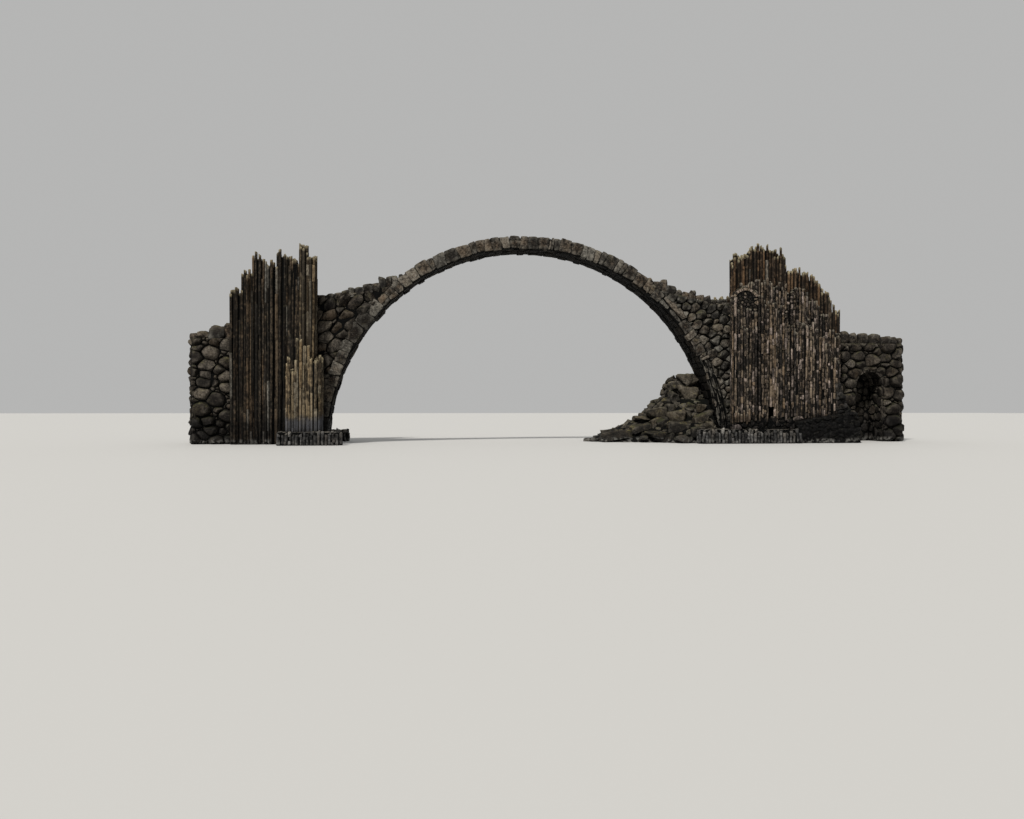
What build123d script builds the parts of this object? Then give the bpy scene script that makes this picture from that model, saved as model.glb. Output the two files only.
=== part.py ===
from build123d import *
import math
import os

# Moon bridge of basalt: a slender half-round arch between two abutments that are
# faced with upright basalt columns. Millimetres. +X runs along the bridge (right
# as seen from the front), +Y runs through it towards the back, +Z is up.
# Z = 0 is the level on which everything stands.
# All X values below are measured from the arch's own axis; ARCH_X moves the whole
# model so that the origin is the middle of the 35 m long footprint.

# ---------------------------------------------------------------- dimensions
ARCH_X = -1700.0        # arch axis in the part's frame
ARCH_Z = -150.0         # arch centre, just under the base level
R_IN = 9600.0           # intrados radius
R_RING = 10020.0        # back (top) of the ring
R_PAVE = 10100.0        # walking surface at the crown
R_KERB = 10220.0        # top of the upstanding edge stones
R_STEP = 10050.0        # inner ends of the treads lie on this circle
HALF_W = 875.0          # half width of the arch
KERB_IN = 660.0         # inner face of the edge stones
HAUNCH_X = 6300.0       # where the ring meets the top of the abutment
PAVE_X = 2500.0         # paving on the crown ends here and the steps start
ARCH_TREADS = 12        # treads on each flank of the arch
JOINT = 6.0             # open joint between neighbouring treads

SLAB = 150.0            # thickness of a tread on the abutment
SPAN_TREADS = 6         # treads between the arch and the columns
PIER_X = 9710.0         # inner edge of the pier between the column walls
PIER_TOP = 6950.0       # walking level there
PIER_TREADS = 12        # treads between the columns, down to the path
PIER_END_R = 16000.0    # outer end of the right abutment
PIER_END_L = 13900.0    # outer end of the left abutment (to the left)
END_R = 19200.0         # right end of the right wing
END_L = 15800.0         # left end of the left wing
PATH_Z = 4950.0         # walking level at both ends
FILL_Y = 500.0          # half width of the hearting between the spandrel walls
CORE_Y = 950.0          # half width of the pier behind the columns
SPAN_Y = 850.0          # outer face of the spandrel walls
PARAPET_H = 330.0       # upstand of the edge stones on the wings

ROW_C = (950.0, 1500.0)     # rear row of columns, next to the path
ROW_B = (1500.0, 2030.0)    # middle row
ROW_A = (2030.0, 2500.0)    # front row
PLINTH_Y = 3000.0           # low ledge round each foot
FACET = 110.0               # how far a bundle of columns bulges

# tops of the column bundles: (left edge, right edge, height)
RIGHT_C = [(10200, 10560, 8550), (10560, 11000, 9050), (11000, 11600, 9400), (11600, 12200, 9450),
           (12200, 12720, 9150), (12720, 13300, 8400), (13300, 13900, 8250), (13900, 14500, 8000),
           (14500, 15050, 7400), (15050, 15620, 6350)]
RIGHT_B = [(10060, 10340, 7000), (10340, 10700, 7600), (10700, 11200, 7500), (11200, 11800, 7750),
           (11800, 12400, 7550), (12400, 13000, 7250), (13000, 13600, 7500), (13600, 14200, 6900),
           (14200, 14800, 6250), (14800, 15400, 5150)]
RIGHT_A = [(10920, 11440, 6650), (11440, 12000, 6300), (12000, 12500, 6350), (12500, 13100, 5300),
           (13100, 13800, 5600), (13800, 14400, 4850), (14400, 15120, 3950)]
BASTION = (9760.0, 10920.0, 7000.0, 7400.0)   # round-headed buttress: sides, springing, crown
NICHE = (11480.0, 11790.0, 1180.0, 1740.0)   # small recess in the front row: sides, sill, head
LEFT_PIL_TOP = [(10090, 10420, 8500), (10420, 10740, 9000)]
LEFT_PIL_LOW = [(9770, 10330, 3700), (10330, 10830, 4200), (10830, 11300, 3150)]
LEFT_SCR = [(10740, 11300, 8350), (11300, 11850, 8700), (11850, 12400, 8200), (12400, 12950, 8500),
            (12950, 13450, 7700), (13450, 13900, 6900)]
BACK_LOW, BACK_LOW_X = 7150.0, 10960.0    # the right back walls stay this low up to here
LEFT_BACK_SHIFT = 350.0                   # the left back pilaster stands this much further out
GROTTO = (16720.0, 18200.0, 2850.0)   # blind grotto in the wing: sides and springing height
GROTTO_BACK = 450.0                   # the closing wall starts here


# ---------------------------------------------------------------- helpers
def pt(x, y, z):
    return Vector(x, y, z)


def z_at(r, x):
    return ARCH_Z + math.sqrt(r * r - x * x)


def x_at(r, z):
    return math.sqrt(r * r - (z - ARCH_Z) ** 2)


def poly(points, y0, y1, side=1.0):
    """Straight-sided outline in the XZ plane, pushed from y0 to y1. side -1 mirrors X."""
    p = [(side * x, z) for x, z in points]
    n = len(p)
    edges = [Edge.make_line(pt(p[i][0], min(y0, y1), p[i][1]), pt(p[(i + 1) % n][0], min(y0, y1), p[(i + 1) % n][1]))
             for i in range(n)]
    return extrude(Face(Wire(edges)), amount=abs(y1 - y0), dir=(0, 1, 0))


def disc(r, y0, y1):
    """Full cylinder about the arch's axis."""
    return Pos(0, (y0 + y1) / 2, ARCH_Z) * (Rot(90, 0, 0) * Cylinder(r, abs(y1 - y0)))


def block(x0, x1, y0, y1, z0, z1, side=1.0):
    return Pos(side * (x0 + x1) / 2, (y0 + y1) / 2, (z0 + z1) / 2) * Box(abs(x1 - x0), abs(y1 - y0), abs(z1 - z0))


def ring(r0, r1, x0, x1, y0, y1, side=1.0, z0=0.0):
    """Ring between two radii, cut by upright planes or, for x = None, by nothing."""
    band = disc(r1, y0, y1) - disc(r0, y0 - 1, y1 + 1)
    return band & block(x0, x1, y0 - 1, y1 + 1, z0, 12000, side)


def wedge(a0, a1, y0, y1, side=1.0):
    """Slice between two angles about the arch's axis."""
    far = 14000.0
    p = [(0, ARCH_Z)] + [(far * math.cos(math.radians(a)), ARCH_Z + far * math.sin(math.radians(a))) for a in (a0, a1)]
    return poly(p, y0, y1, side)


def parts_of(shape):
    return list(shape.solids())


def node(*shapes):
    """One node: its solids side by side."""
    s = [q for shape in shapes for q in parts_of(shape)]
    return s[0] if len(s) == 1 else Compound(children=s)


def bundles(rows, y_in, y_out, z0=0.0, side=1.0, sign=-1.0):
    """Upright bundles of columns side by side, each with its own top. y_in is the face towards
    the bridge, y_out the outer one; sign -1 is the front of the bridge. side -1 mirrors X."""
    made = None
    for x0, x1, top in rows:
        a, b = side * x0, side * x1
        lo, hi = min(a, b), max(a, b)
        c = min(150.0, (hi - lo) * 0.28)
        plan = [(lo, y_in), (hi, y_in), (hi, y_out - FACET), (hi - c, y_out), (lo + c, y_out), (lo, y_out - FACET)]
        edges = [Edge.make_line(pt(plan[i][0], sign * plan[i][1], z0), pt(plan[(i + 1) % 6][0], sign * plan[(i + 1) % 6][1], z0))
                 for i in range(6)]
        solid = extrude(Face(Wire(edges)), amount=top - z0, dir=(0, 0, 1))
        made = solid if made is None else made + solid
    return made


PARTS = {}


def add(name, *shapes):
    PARTS[name] = node(*shapes)


# ---------------------------------------------------------------- the arch ring, six lengths
for side, word in ((1.0, "right"), (-1.0, "left")):
    half_ring = ring(R_IN, R_RING, 0, 12000, -HALF_W, HALF_W, side)
    for tag, a0, a1 in (("foot", -10.0, 30.0), ("haunch", 30.0, 60.0), ("crown", 60.0, 90.0)):
        add("arch_" + tag + "_" + word, half_ring & wedge(a0, a1, -1500, 1500, side))

# crown paving
band = disc(R_PAVE, -KERB_IN, KERB_IN) - disc(R_RING, -KERB_IN - 1, KERB_IN + 1)
add("crown_paving", band & block(-PAVE_X, PAVE_X, -2000, 2000, 0, 12000))

# the two flights that ride on the ring
z_first = z_at(R_STEP, PAVE_X)
z_land = z_at(R_STEP, HAUNCH_X)
rise = (z_first - z_land) / ARCH_TREADS
hole = disc(R_RING, -2000, 2000)
for side, word in ((1.0, "right"), (-1.0, "left")):
    treads = []
    for i in range(ARCH_TREADS):
        z = z_first - rise * i
        xa, xb = x_at(R_STEP, z), x_at(R_STEP, z - rise)
        treads.append(block(xa, xb - JOINT, -KERB_IN, KERB_IN, 6500, z, side) - hole)
    add("arch_steps_" + word, *treads)


# ---------------------------------------------------------------- abutments
def levels(end):
    """Treads from the arch down to the path: (inner x, outer x, walking level)."""
    out = []
    for i in range(SPAN_TREADS):
        d = (PIER_X - HAUNCH_X) / SPAN_TREADS
        out.append((HAUNCH_X + d * i, HAUNCH_X + d * (i + 1), z_land + (PIER_TOP - z_land) * i / SPAN_TREADS))
    for i in range(PIER_TREADS):
        d = (end - PIER_X) / PIER_TREADS
        out.append((PIER_X + d * i, PIER_X + d * (i + 1), PIER_TOP + (PATH_Z - PIER_TOP) * i / PIER_TREADS))
    return out


def bed(treads):
    """Stepped line under the treads."""
    out = []
    for x0, x1, z in treads:
        out += [(x0, z - SLAB), (x1, z - SLAB)]
    return out


def abutment(side, word, end):
    all_treads = levels(end)
    span, pier = all_treads[:SPAN_TREADS], all_treads[SPAN_TREADS:]
    # walls over the ring on either side of the hearting
    wall = bed(span) + [(PIER_X, 2000), (HAUNCH_X, 2000)]
    for tag, sign in (("front", -1.0), ("back", 1.0)):
        add(word + "_spandrel_" + tag, poly(wall, sign * FILL_Y, sign * SPAN_Y, side) - hole)
    inner = poly(wall, -FILL_Y, FILL_Y, side) - hole
    body = poly(bed(pier) + [(end, 0), (9000, 0), (9000, 2000), (PIER_X, 2000)], -CORE_Y, CORE_Y, side) - hole
    add(word + "_abutment_core", inner + body)
    # treads: the ones over the spandrels are as wide as the arch, the others fill the pier
    made = []
    for x0, x1, z in span:
        made.append(block(x0, x1 - JOINT, -KERB_IN, KERB_IN, z - SLAB, z, side) - hole)
    for x0, x1, z in pier:
        made.append(block(x0, x1 - JOINT, -CORE_Y, CORE_Y, z - SLAB, z, side))
    add(word + "_approach_steps", *made)
    # edge stones: over the arch, over the spandrel, and on the wing
    far = END_R if side > 0 else END_L
    for tag, sign in (("front", -1.0), ("back", 1.0)):
        y0, y1 = sorted((sign * KERB_IN, sign * HALF_W))
        curb = disc(R_KERB, y0, y1) - disc(R_RING, y0 - 1, y1 + 1)
        curb = curb & block(0, HAUNCH_X, -2000, 2000, 0, 12000, side)
        lower = bed(span)[:-1] + [(PIER_X - 10, bed(span)[-1][1]), (PIER_X - 10, PIER_TOP + 190), (HAUNCH_X + 10, z_at(R_KERB, HAUNCH_X) + 40)]
        lower[0] = (HAUNCH_X + 10, lower[0][1])
        over = poly(lower, sign * KERB_IN, sign * SPAN_Y, side) - hole
        wing = block(end + 20, far, sign * 600, sign * CORE_Y, PATH_Z, PATH_Z + PARAPET_H, side)
        add("kerb_" + tag + "_" + word, curb, over, wing)


abutment(1.0, "right", PIER_END_R)
abutment(-1.0, "left", PIER_END_L)

def lowered(rows, sign):
    """The back walls start low: from the front nothing of them shows beside the tall front columns."""
    return [(a, b, min(top, BACK_LOW) if sign > 0 and a < BACK_LOW_X else top) for a, b, top in rows]


def solids_of(*names):
    return [q for n in names for q in parts_of(PARTS[n])]


def less(shape, cutters):
    """The shape without whatever stands in it."""
    box = shape.bounding_box()
    for c in cutters:
        b = c.bounding_box()
        if b.min.X < box.max.X and b.max.X > box.min.X and b.min.Y < box.max.Y and b.max.Y > box.min.Y and b.min.Z < box.max.Z and b.max.Z > box.min.Z:
            shape = shape - c
    return shape


def keep(shape, least=2.0e7):
    """Only the solids worth keeping: slivers left by the cuts are dropped."""
    return Compound(children=[q for q in parts_of(shape) if q.volume > least])


for tag, sign in (("front", -1.0), ("back", 1.0)):
    # right column walls
    add("right_rear_columns_" + tag, bundles(lowered(RIGHT_C, sign), ROW_C[0], ROW_C[1], sign=sign))
    add("right_middle_columns_" + tag, bundles(lowered(RIGHT_B, sign), ROW_B[0], ROW_B[1], sign=sign))
    slot = block(NICHE[0], NICHE[1], sign * (ROW_A[0] + 20), sign * (ROW_A[1] + 5), NICHE[2], NICHE[3])
    add("right_front_columns_" + tag, bundles(RIGHT_A, ROW_A[0], ROW_A[1], sign=sign) - slot)
    bx0, bx1, bs, bz = BASTION
    half, rise_b = (bx1 - bx0) / 2, bz - bs
    r = (half * half + rise_b * rise_b) / (2 * rise_b)
    lo, hi = sorted((sign * ROW_A[0], sign * (ROW_A[1] + 40)))
    head = Pos(bx0 + half, (lo + hi) / 2, bz - r) * (Rot(90, 0, 0) * Cylinder(r, hi - lo))
    add("right_bastion_" + tag, block(bx0, bx1, lo, hi, 0, bs) + (head & block(bx0, bx1, lo - 10, hi + 10, bs - 100, bz + 100)))
    # left column walls
    shift = LEFT_BACK_SHIFT if sign > 0 else 0.0
    pil = [(a + shift, b + shift, top) for a, b, top in LEFT_PIL_TOP]
    low = [(a + shift, b + shift, top) for a, b, top in LEFT_PIL_LOW]
    scr = [(max(a, pil[-1][1]), b, top) for a, b, top in LEFT_SCR if b > pil[-1][1] + 200]
    add("left_pilaster_" + tag, bundles(pil, ROW_C[0], 1900.0, side=-1.0, sign=sign))
    add("left_screen_" + tag, bundles(scr, ROW_C[0], ROW_C[1], side=-1.0, sign=sign))
    skirt = bundles(low, ROW_C[0], 2400.0, side=-1.0, sign=sign)
    skirt = less(skirt, solids_of("left_pilaster_" + tag, "left_screen_" + tag))
    add("left_pilaster_skirt_" + tag, keep(skirt))

# low ledges of short columns, each running round the springing and inside the arch
ledge = block(9000, 12950, -2540, PLINTH_Y, 0, 660) + block(8000, 12950, -PLINTH_Y, -2540, 0, 660)
ledge = less(ledge, solids_of("arch_foot_right", "right_abutment_core", "right_rear_columns_front", "right_rear_columns_back",
                              "right_middle_columns_front", "right_middle_columns_back", "right_front_columns_front",
                              "right_front_columns_back", "right_bastion_front", "right_bastion_back"))
add("right_plinth", keep(ledge))
ledge = block(9350, 11600, -2410, PLINTH_Y, 0, 580, -1.0) + block(8890, 11600, -PLINTH_Y, -2410, 0, 580, -1.0)
ledge = less(ledge, solids_of("arch_foot_left", "left_abutment_core", "left_pilaster_front", "left_pilaster_back",
                              "left_screen_front", "left_screen_back", "left_pilaster_skirt_front", "left_pilaster_skirt_back"))
add("left_plinth", keep(ledge))

# rough footing round the outer corners of the right pier
feet = []
for sign in (-1.0, 1.0):
    foot = poly([(12950, 0), (15900, 0), (15750, 1450), (14500, 1250), (12950, 1000)], sign * 1960, sign * 2880)
    wrap = poly([(15000, 0), (16200, 0), (15980, 770), (15700, 1420), (15330, 2130), (15130, 2900), (15000, 2900)], sign * 960, sign * 2500)
    both = less(foot + wrap, solids_of("right_abutment_core", "right_rear_columns_front", "right_rear_columns_back",
                                       "right_middle_columns_front", "right_middle_columns_back", "right_front_columns_front",
                                       "right_front_columns_back"))
    feet.append(keep(both))
add("right_footing", *feet)

# wings
gx0, gx1, gz = GROTTO
gr = (gx1 - gx0) / 2
opening = block(gx0, gx1, -2000, 2000, -10, gz) + Pos(gx0 + gr, 0, gz) * (Rot(90, 0, 0) * Cylinder(gr, 4000))
add("right_wing_jambs", block(PIER_END_R, gx0, -CORE_Y, CORE_Y, 0, gz), block(gx1, END_R, -CORE_Y, CORE_Y, 0, gz))
add("right_wing_vault", block(PIER_END_R, END_R, -CORE_Y, CORE_Y, gz, PATH_Z) - opening)
add("right_grotto_wall", opening & block(gx0, gx1, GROTTO_BACK, CORE_Y, 0, gz + gr + 10))
add("left_wing_wall", block(PIER_END_L, END_L, -CORE_Y, CORE_Y, 0, PATH_Z, -1.0))


# ---------------------------------------------------------------- rock heap
def rock(base, top, z0, z1):
    """A rough mass with flat sloping sides between two outlines."""
    f0 = Face(Wire([Edge.make_line(pt(*base[i], z0), pt(*base[(i + 1) % len(base)], z0)) for i in range(len(base))]))
    f1 = Face(Wire([Edge.make_line(pt(*top[i], z1), pt(*top[(i + 1) % len(top)], z1)) for i in range(len(top))]))
    return loft([f0, f1], ruled=True)


low = rock([(3250, 900), (4200, -100), (6300, -900), (7300, -2200), (9000, -2400), (9000, 2950), (6200, 3000), (4300, 2500)],
           [(5400, 1000), (5850, 400), (6850, -400), (7750, -1500), (9000, -1600), (9000, 2500), (6900, 2600), (5800, 2000)], 0, 950)
mid = rock([(5650, 1000), (6050, 500), (7050, -200), (8000, -900), (9400, -1000), (9400, 2300), (6950, 2500), (6000, 1900)],
           [(7150, 1300), (7250, 700), (7650, 250), (8200, 0), (9200, -300), (9200, 2000), (7700, 2400), (7300, 1900)], 950, 2150)
top = rock([(7250, 1300), (7350, 800), (7700, 450), (8950, 400), (8950, 1900), (8200, 2300), (7750, 2300), (7400, 1900)],
           [(7750, 1300), (7850, 1000), (8150, 900), (8750, 900), (8750, 1500), (8500, 1800), (8200, 1900), (7900, 1700)], 2150, 3250)
keep_off = ring(R_IN - 20, R_RING + 400, 5000, 12000, -HALF_W - 20, HALF_W + 20)
ledges = block(8990, 9800, -3100, 3100, -10, 665) + block(7990, 9800, -3100, -2530, -10, 665)
others = ("right_abutment_core", "right_middle_columns_front", "right_middle_columns_back", "right_rear_columns_front", "right_rear_columns_back")
add("rock_heap_lower", keep(low - ledges - keep_off))
add("rock_heap_middle", keep(less(mid - ledges - keep_off, solids_of(*others))))
add("rock_heap_upper", keep(top - keep_off))

# ---------------------------------------------------------------- write
os.makedirs("parts", exist_ok=True)
for f in os.listdir("parts"):
    if f.endswith(".step"):
        os.remove(os.path.join("parts", f))
for name, shape in PARTS.items():
    export_step(Pos(ARCH_X, 0, 0) * shape, "parts/" + name + ".step")
print(len(PARTS), "nodes")
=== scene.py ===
import math
import bmesh
import bpy
import numpy as np
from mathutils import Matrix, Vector


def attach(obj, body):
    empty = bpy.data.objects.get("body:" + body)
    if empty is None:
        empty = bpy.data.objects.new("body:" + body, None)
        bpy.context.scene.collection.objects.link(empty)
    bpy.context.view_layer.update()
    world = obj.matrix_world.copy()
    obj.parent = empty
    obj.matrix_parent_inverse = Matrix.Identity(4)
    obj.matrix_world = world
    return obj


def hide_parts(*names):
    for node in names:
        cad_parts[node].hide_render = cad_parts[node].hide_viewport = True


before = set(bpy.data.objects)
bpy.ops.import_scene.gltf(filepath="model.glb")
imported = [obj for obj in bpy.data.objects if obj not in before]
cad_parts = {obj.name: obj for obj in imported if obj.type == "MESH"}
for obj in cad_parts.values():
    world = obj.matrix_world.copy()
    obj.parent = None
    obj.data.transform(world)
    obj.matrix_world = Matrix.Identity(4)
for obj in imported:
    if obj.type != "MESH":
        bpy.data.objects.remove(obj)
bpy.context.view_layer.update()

# Everything below is worked out about the arch's own axis, in metres. AX moves it to the shared frame.
AX = -1.7
AZ = -0.15
R_IN, R_RING, R_PAVE, R_KERB, R_STEP = 9.6, 10.02, 10.10, 10.22, 10.05
HALF_W, KERB_IN, SPAN_Y, CORE_Y = 0.875, 0.66, 0.85, 0.95
HAUNCH_X, PAVE_X, PIER_X, PIER_TOP = 6.3, 2.5, 9.71, 6.95
PIER_END_R, PIER_END_L, END_R, END_L, PATH_Z = 16.0, 13.9, 19.2, 15.8, 4.95
SPAN_TREADS, PIER_TREADS, ARCH_TREADS = 6, 12, 12
FACET = 0.11

RIGHT_C = [(10.2, 10.56, 8.55), (10.56, 11.0, 9.05), (11.0, 11.6, 9.4), (11.6, 12.2, 9.45), (12.2, 12.72, 9.15),
           (12.72, 13.3, 8.4), (13.3, 13.9, 8.25), (13.9, 14.5, 8.0), (14.5, 15.05, 7.4), (15.05, 15.62, 6.35)]
RIGHT_B = [(10.06, 10.34, 7.0), (10.34, 10.7, 7.6), (10.7, 11.2, 7.5), (11.2, 11.8, 7.75), (11.8, 12.4, 7.55),
           (12.4, 13.0, 7.25), (13.0, 13.6, 7.5), (13.6, 14.2, 6.9), (14.2, 14.8, 6.25), (14.8, 15.4, 5.15)]
RIGHT_A = [(10.92, 11.44, 6.65), (11.44, 12.0, 6.3), (12.0, 12.5, 6.35), (12.5, 13.1, 5.3), (13.1, 13.8, 5.6),
           (13.8, 14.4, 4.85), (14.4, 15.12, 3.95)]
BASTION = (9.76, 10.92, 7.0, 7.4)
NICHE = (11.48, 11.79, 1.18, 1.74)
PIL_TOP = [(10.09, 10.42, 8.5), (10.42, 10.74, 9.0)]
PIL_LOW = [(9.77, 10.33, 3.7), (10.33, 10.83, 4.2), (10.83, 11.3, 3.15)]
SCREEN = [(10.74, 11.3, 8.35), (11.3, 11.85, 8.7), (11.85, 12.4, 8.2), (12.4, 12.95, 8.5), (12.95, 13.45, 7.7),
          (13.45, 13.9, 6.9)]
GROTTO = (16.72, 18.2, 2.85)
GROTTO_BACK = 0.45

# tips of single columns along the three right-hand rows: (x, height)
TIPS_C = [(10.02, 8.67), (10.19, 9.07), (10.45, 9.13), (10.65, 9.18), (10.91, 9.33), (11.06, 9.73), (11.2, 9.5),
          (11.42, 9.88), (11.6, 9.62), (11.83, 9.74), (12.09, 9.35), (12.29, 9.56), (12.5, 9.66), (12.71, 9.22),
          (12.96, 8.38), (13.27, 8.63), (13.58, 8.74), (13.84, 8.45), (14.05, 8.35), (14.36, 8.11), (14.62, 7.81),
          (14.88, 7.47), (15.09, 7.12), (15.3, 6.78), (15.46, 6.33), (15.77, 5.59)]
TIPS_B = [(9.9, 7.2), (10.3, 7.75), (10.8, 7.8), (11.1, 7.97), (11.25, 7.93), (11.6, 8.08), (11.86, 7.79),
          (12.21, 7.85), (12.57, 7.75), (13.13, 7.57), (13.28, 7.62), (13.44, 7.13), (13.64, 7.18), (13.9, 7.04),
          (14.21, 6.75), (14.62, 6.12), (14.93, 5.53), (15.4, 5.2)]
TIPS_A = [(10.9, 7.42), (11.2, 7.08), (11.55, 6.8), (11.9, 6.81), (12.25, 6.62), (12.55, 5.7), (13.06, 5.85),
          (13.46, 6.05), (13.82, 5.86), (14.17, 5.23), (14.58, 4.75), (14.99, 4.03)]
# upper edge of the rubble between the arch and the columns
TOP_RIGHT = [(5.84, 8.33), (6.23, 8.12), (6.46, 7.95), (6.8, 8.03), (7.39, 7.68), (7.78, 7.5), (8.36, 7.47),
             (8.75, 7.3), (9.15, 7.25), (9.61, 7.13), (9.97, 7.05)]

UX, UY, UZ = np.eye(3)


def gen(seed):
    return np.random.default_rng(seed)


def interp(table, x):
    xs, zs = zip(*table)
    return float(np.interp(x, xs, zs))


def ang_at(r, x):
    """Angle of the point of a circle about the arch's axis at distance x from it."""
    return math.degrees(math.acos(x / r))


def z_at(r, x):
    return AZ + math.sqrt(r * r - x * x)


def x_at(r, z):
    return math.sqrt(r * r - (z - AZ) ** 2)


# ---------------------------------------------------------------- noise
def hash3(ix, iy, iz, seed):
    h = (ix * 374761393 + iy * 668265263 + iz * 1103515245 + seed * 12741261) & 0xFFFFFFFF
    h = ((h ^ (h >> 13)) * 1274126177) & 0xFFFFFFFF
    h = h ^ (h >> 16)
    return (h & 0xFFFFFF) / float(0xFFFFFF)


def vnoise(p, seed):
    i = np.floor(p).astype(np.int64)
    f = p - i
    f = f * f * (3 - 2 * f)
    out = np.zeros(len(p))
    for dx in (0, 1):
        wx = f[:, 0] if dx else 1 - f[:, 0]
        for dy in (0, 1):
            wy = f[:, 1] if dy else 1 - f[:, 1]
            for dz in (0, 1):
                wz = f[:, 2] if dz else 1 - f[:, 2]
                out += wx * wy * wz * hash3(i[:, 0] + dx, i[:, 1] + dy, i[:, 2] + dz, seed)
    return out * 2 - 1


def warp(p, scale, seed):
    q = p / scale
    return np.stack([vnoise(q, seed) + 0.6 * vnoise(q * 2.3, seed + 5),
                     vnoise(q, seed + 11) + 0.6 * vnoise(q * 2.3, seed + 16),
                     vnoise(q, seed + 23) + 0.6 * vnoise(q * 2.3, seed + 28)], 1)


# ---------------------------------------------------------------- mesh collector
TOTAL = [0]


class Bag:
    """Collects many small stones into one mesh. tone is (brightness, brown, pale, tip) for each point; tip marks the
    column tops that get a painted highlight.
    """

    def __init__(self):
        self.v, self.t, self.a, self.o = [], [], [], []
        self.flat, self.sizes, self.n = [], [], 0

    def add(self, verts, faces, tone, amp=0.0, off=(0, 0, 0), flip=False):
        verts = np.asarray(verts, float)
        n = len(verts)
        self.v.append(verts)
        tone = np.asarray(tone, float)
        self.t.append(np.broadcast_to(tone, (n, 4)) if tone.ndim == 1 else tone)
        self.a.append(np.broadcast_to(np.asarray(amp, float), (n,)))
        self.o.append(np.broadcast_to(np.asarray(off, float), (n, 3)))
        for f in faces:
            f = np.asarray(f, np.int64)
            if flip:
                f = f[:, ::-1]
            self.flat.append((f + self.n).ravel())
            self.sizes.append(np.full(len(f), f.shape[1]))
        self.n += n

    def solid(self, verts, faces, tone, amp=0.0, off=(0, 0, 0)):
        """A closed stone, turned so that its faces look outwards."""
        v = np.asarray(verts, float)
        c = v.mean(0)
        vol = 0.0
        for f in faces:
            f = np.asarray(f)
            a, b = v[f[:, 0]] - c, v[f[:, 1]] - c
            for k in range(2, f.shape[1]):
                d = v[f[:, k]] - c
                vol += float((np.cross(a, b) * d).sum())
                b = d
        self.add(v, faces, tone, amp, off, flip=vol < 0)

    def build(self, name, material, slot, nodes=(), scale=0.3, seed=1, angle=38.0):
        v = np.concatenate(self.v)
        a = np.concatenate(self.a)
        o = np.concatenate(self.o)
        t = np.concatenate(self.t)
        flat, sizes = np.concatenate(self.flat), np.concatenate(self.sizes)
        v = v + warp(v + o, scale, seed) * a[:, None]
        v[:, 2] = np.maximum(v[:, 2], 0.0)
        v[:, 1] = np.clip(v[:, 1], -3.16, 3.16)
        v = v + np.array([AX, 0, 0])
        me = bpy.data.meshes.new(name)
        me.vertices.add(len(v))
        me.vertices.foreach_set("co", v.astype(np.float32).ravel())
        me.loops.add(len(flat))
        me.loops.foreach_set("vertex_index", flat.astype(np.int32))
        me.polygons.add(len(sizes))
        starts = np.concatenate([[0], np.cumsum(sizes)[:-1]]).astype(np.int32)
        me.polygons.foreach_set("loop_start", starts)
        me.polygons.foreach_set("use_smooth", np.ones(len(sizes), dtype=bool))
        me.update(calc_edges=True)
        me.validate()
        col = me.color_attributes.new("tone", "FLOAT_COLOR", "POINT")
        col.data.foreach_set("color", np.ascontiguousarray(t, dtype=np.float32).ravel())
        me.set_sharp_from_angle(angle=math.radians(angle))
        ob = bpy.data.objects.new(name, me)
        bpy.context.scene.collection.objects.link(ob)
        me.materials.append(material)
        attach(ob, "root")
        if nodes:
            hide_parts(*nodes)
        tris = int((sizes - 2).sum())
        TOTAL[0] += tris
        print("PIECE", name, tris)
        return ob


def tone_of(rng, bright=0.45, spread=0.22, brown=0.5, pale=0.08, tip=0.0):
    b = float(np.clip(rng.normal(bright, spread), 0.02, 1.0))
    g = float(np.clip(rng.normal(brown, 0.28), 0.0, 1.0))
    p = float(rng.uniform(0.35, 0.9)) if rng.random() < pale else float(rng.uniform(0.0, 0.07))
    return (b, g, p, tip)


# ---------------------------------------------------------------- stone shapes
def cube_grid(ts):
    m = len(ts)
    index, verts, faces = {}, [], []

    def vid(key):
        if key not in index:
            index[key] = len(verts)
            verts.append([ts[key[0]], ts[key[1]], ts[key[2]]])
        return index[key]

    for axis in range(3):
        u, w = (axis + 1) % 3, (axis + 2) % 3
        for side in (0, m - 1):
            for i in range(m - 1):
                for j in range(m - 1):
                    quad = []
                    for a, b in ((i, j), (i + 1, j), (i + 1, j + 1), (i, j + 1)):
                        key = [0, 0, 0]
                        key[axis], key[u], key[w] = side, a, b
                        quad.append(vid(tuple(key)))
                    faces.append(quad if side else quad[::-1])
    return np.array(verts), np.array(faces)


CUBE3 = cube_grid([-1, -0.84, 0.84, 1])
CUBE4 = cube_grid([-1, -0.86, 0.0, 0.86, 1])


def cut_cube(template, rng, chamfer=0.07, chops=2, lo=1.1, hi=1.5):
    """The unit block with chamfered edges and a few corners struck off."""
    p = template[0].copy()
    at = np.abs(p) > 0.999
    count = at.sum(1)
    shrink = np.where(count == 2, 1 - chamfer, np.where(count == 3, 1 - chamfer * 1.7, 1.0))
    p = np.where(at, p * shrink[:, None], p)
    for _ in range(chops):
        n = rng.choice([-1.0, 1.0], 3) * rng.uniform(0.15, 1.0, 3)
        n /= np.linalg.norm(n)
        h = rng.uniform(lo, hi)
        over = np.maximum(p @ n - h, 0)
        p = p - over[:, None] * n
    return p


def arc_block(bag, th0, th1, r0, r1, y0, y1, rng, tone, template=CUBE4, chamfer=0.08, chops=2, amp=0.014, cx=0.0, cz=AZ,
              skew=0.0, side=1.0):
    """Block between two angles (degrees), two radii and two depths."""
    p = cut_cube(template, rng, chamfer, chops)
    th = np.radians((th0 + th1) / 2 + p[:, 0] * (th1 - th0) / 2)
    r = (r0 + r1) / 2 + p[:, 1] * (r1 - r0) / 2 + p[:, 0] * skew
    y = (y0 + y1) / 2 + p[:, 2] * (y1 - y0) / 2
    v = np.stack([side * (cx + r * np.cos(th)), y, cz + r * np.sin(th)], 1)
    bag.solid(v, [template[1]], tone, amp, rng.uniform(-40, 40, 3))


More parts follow.
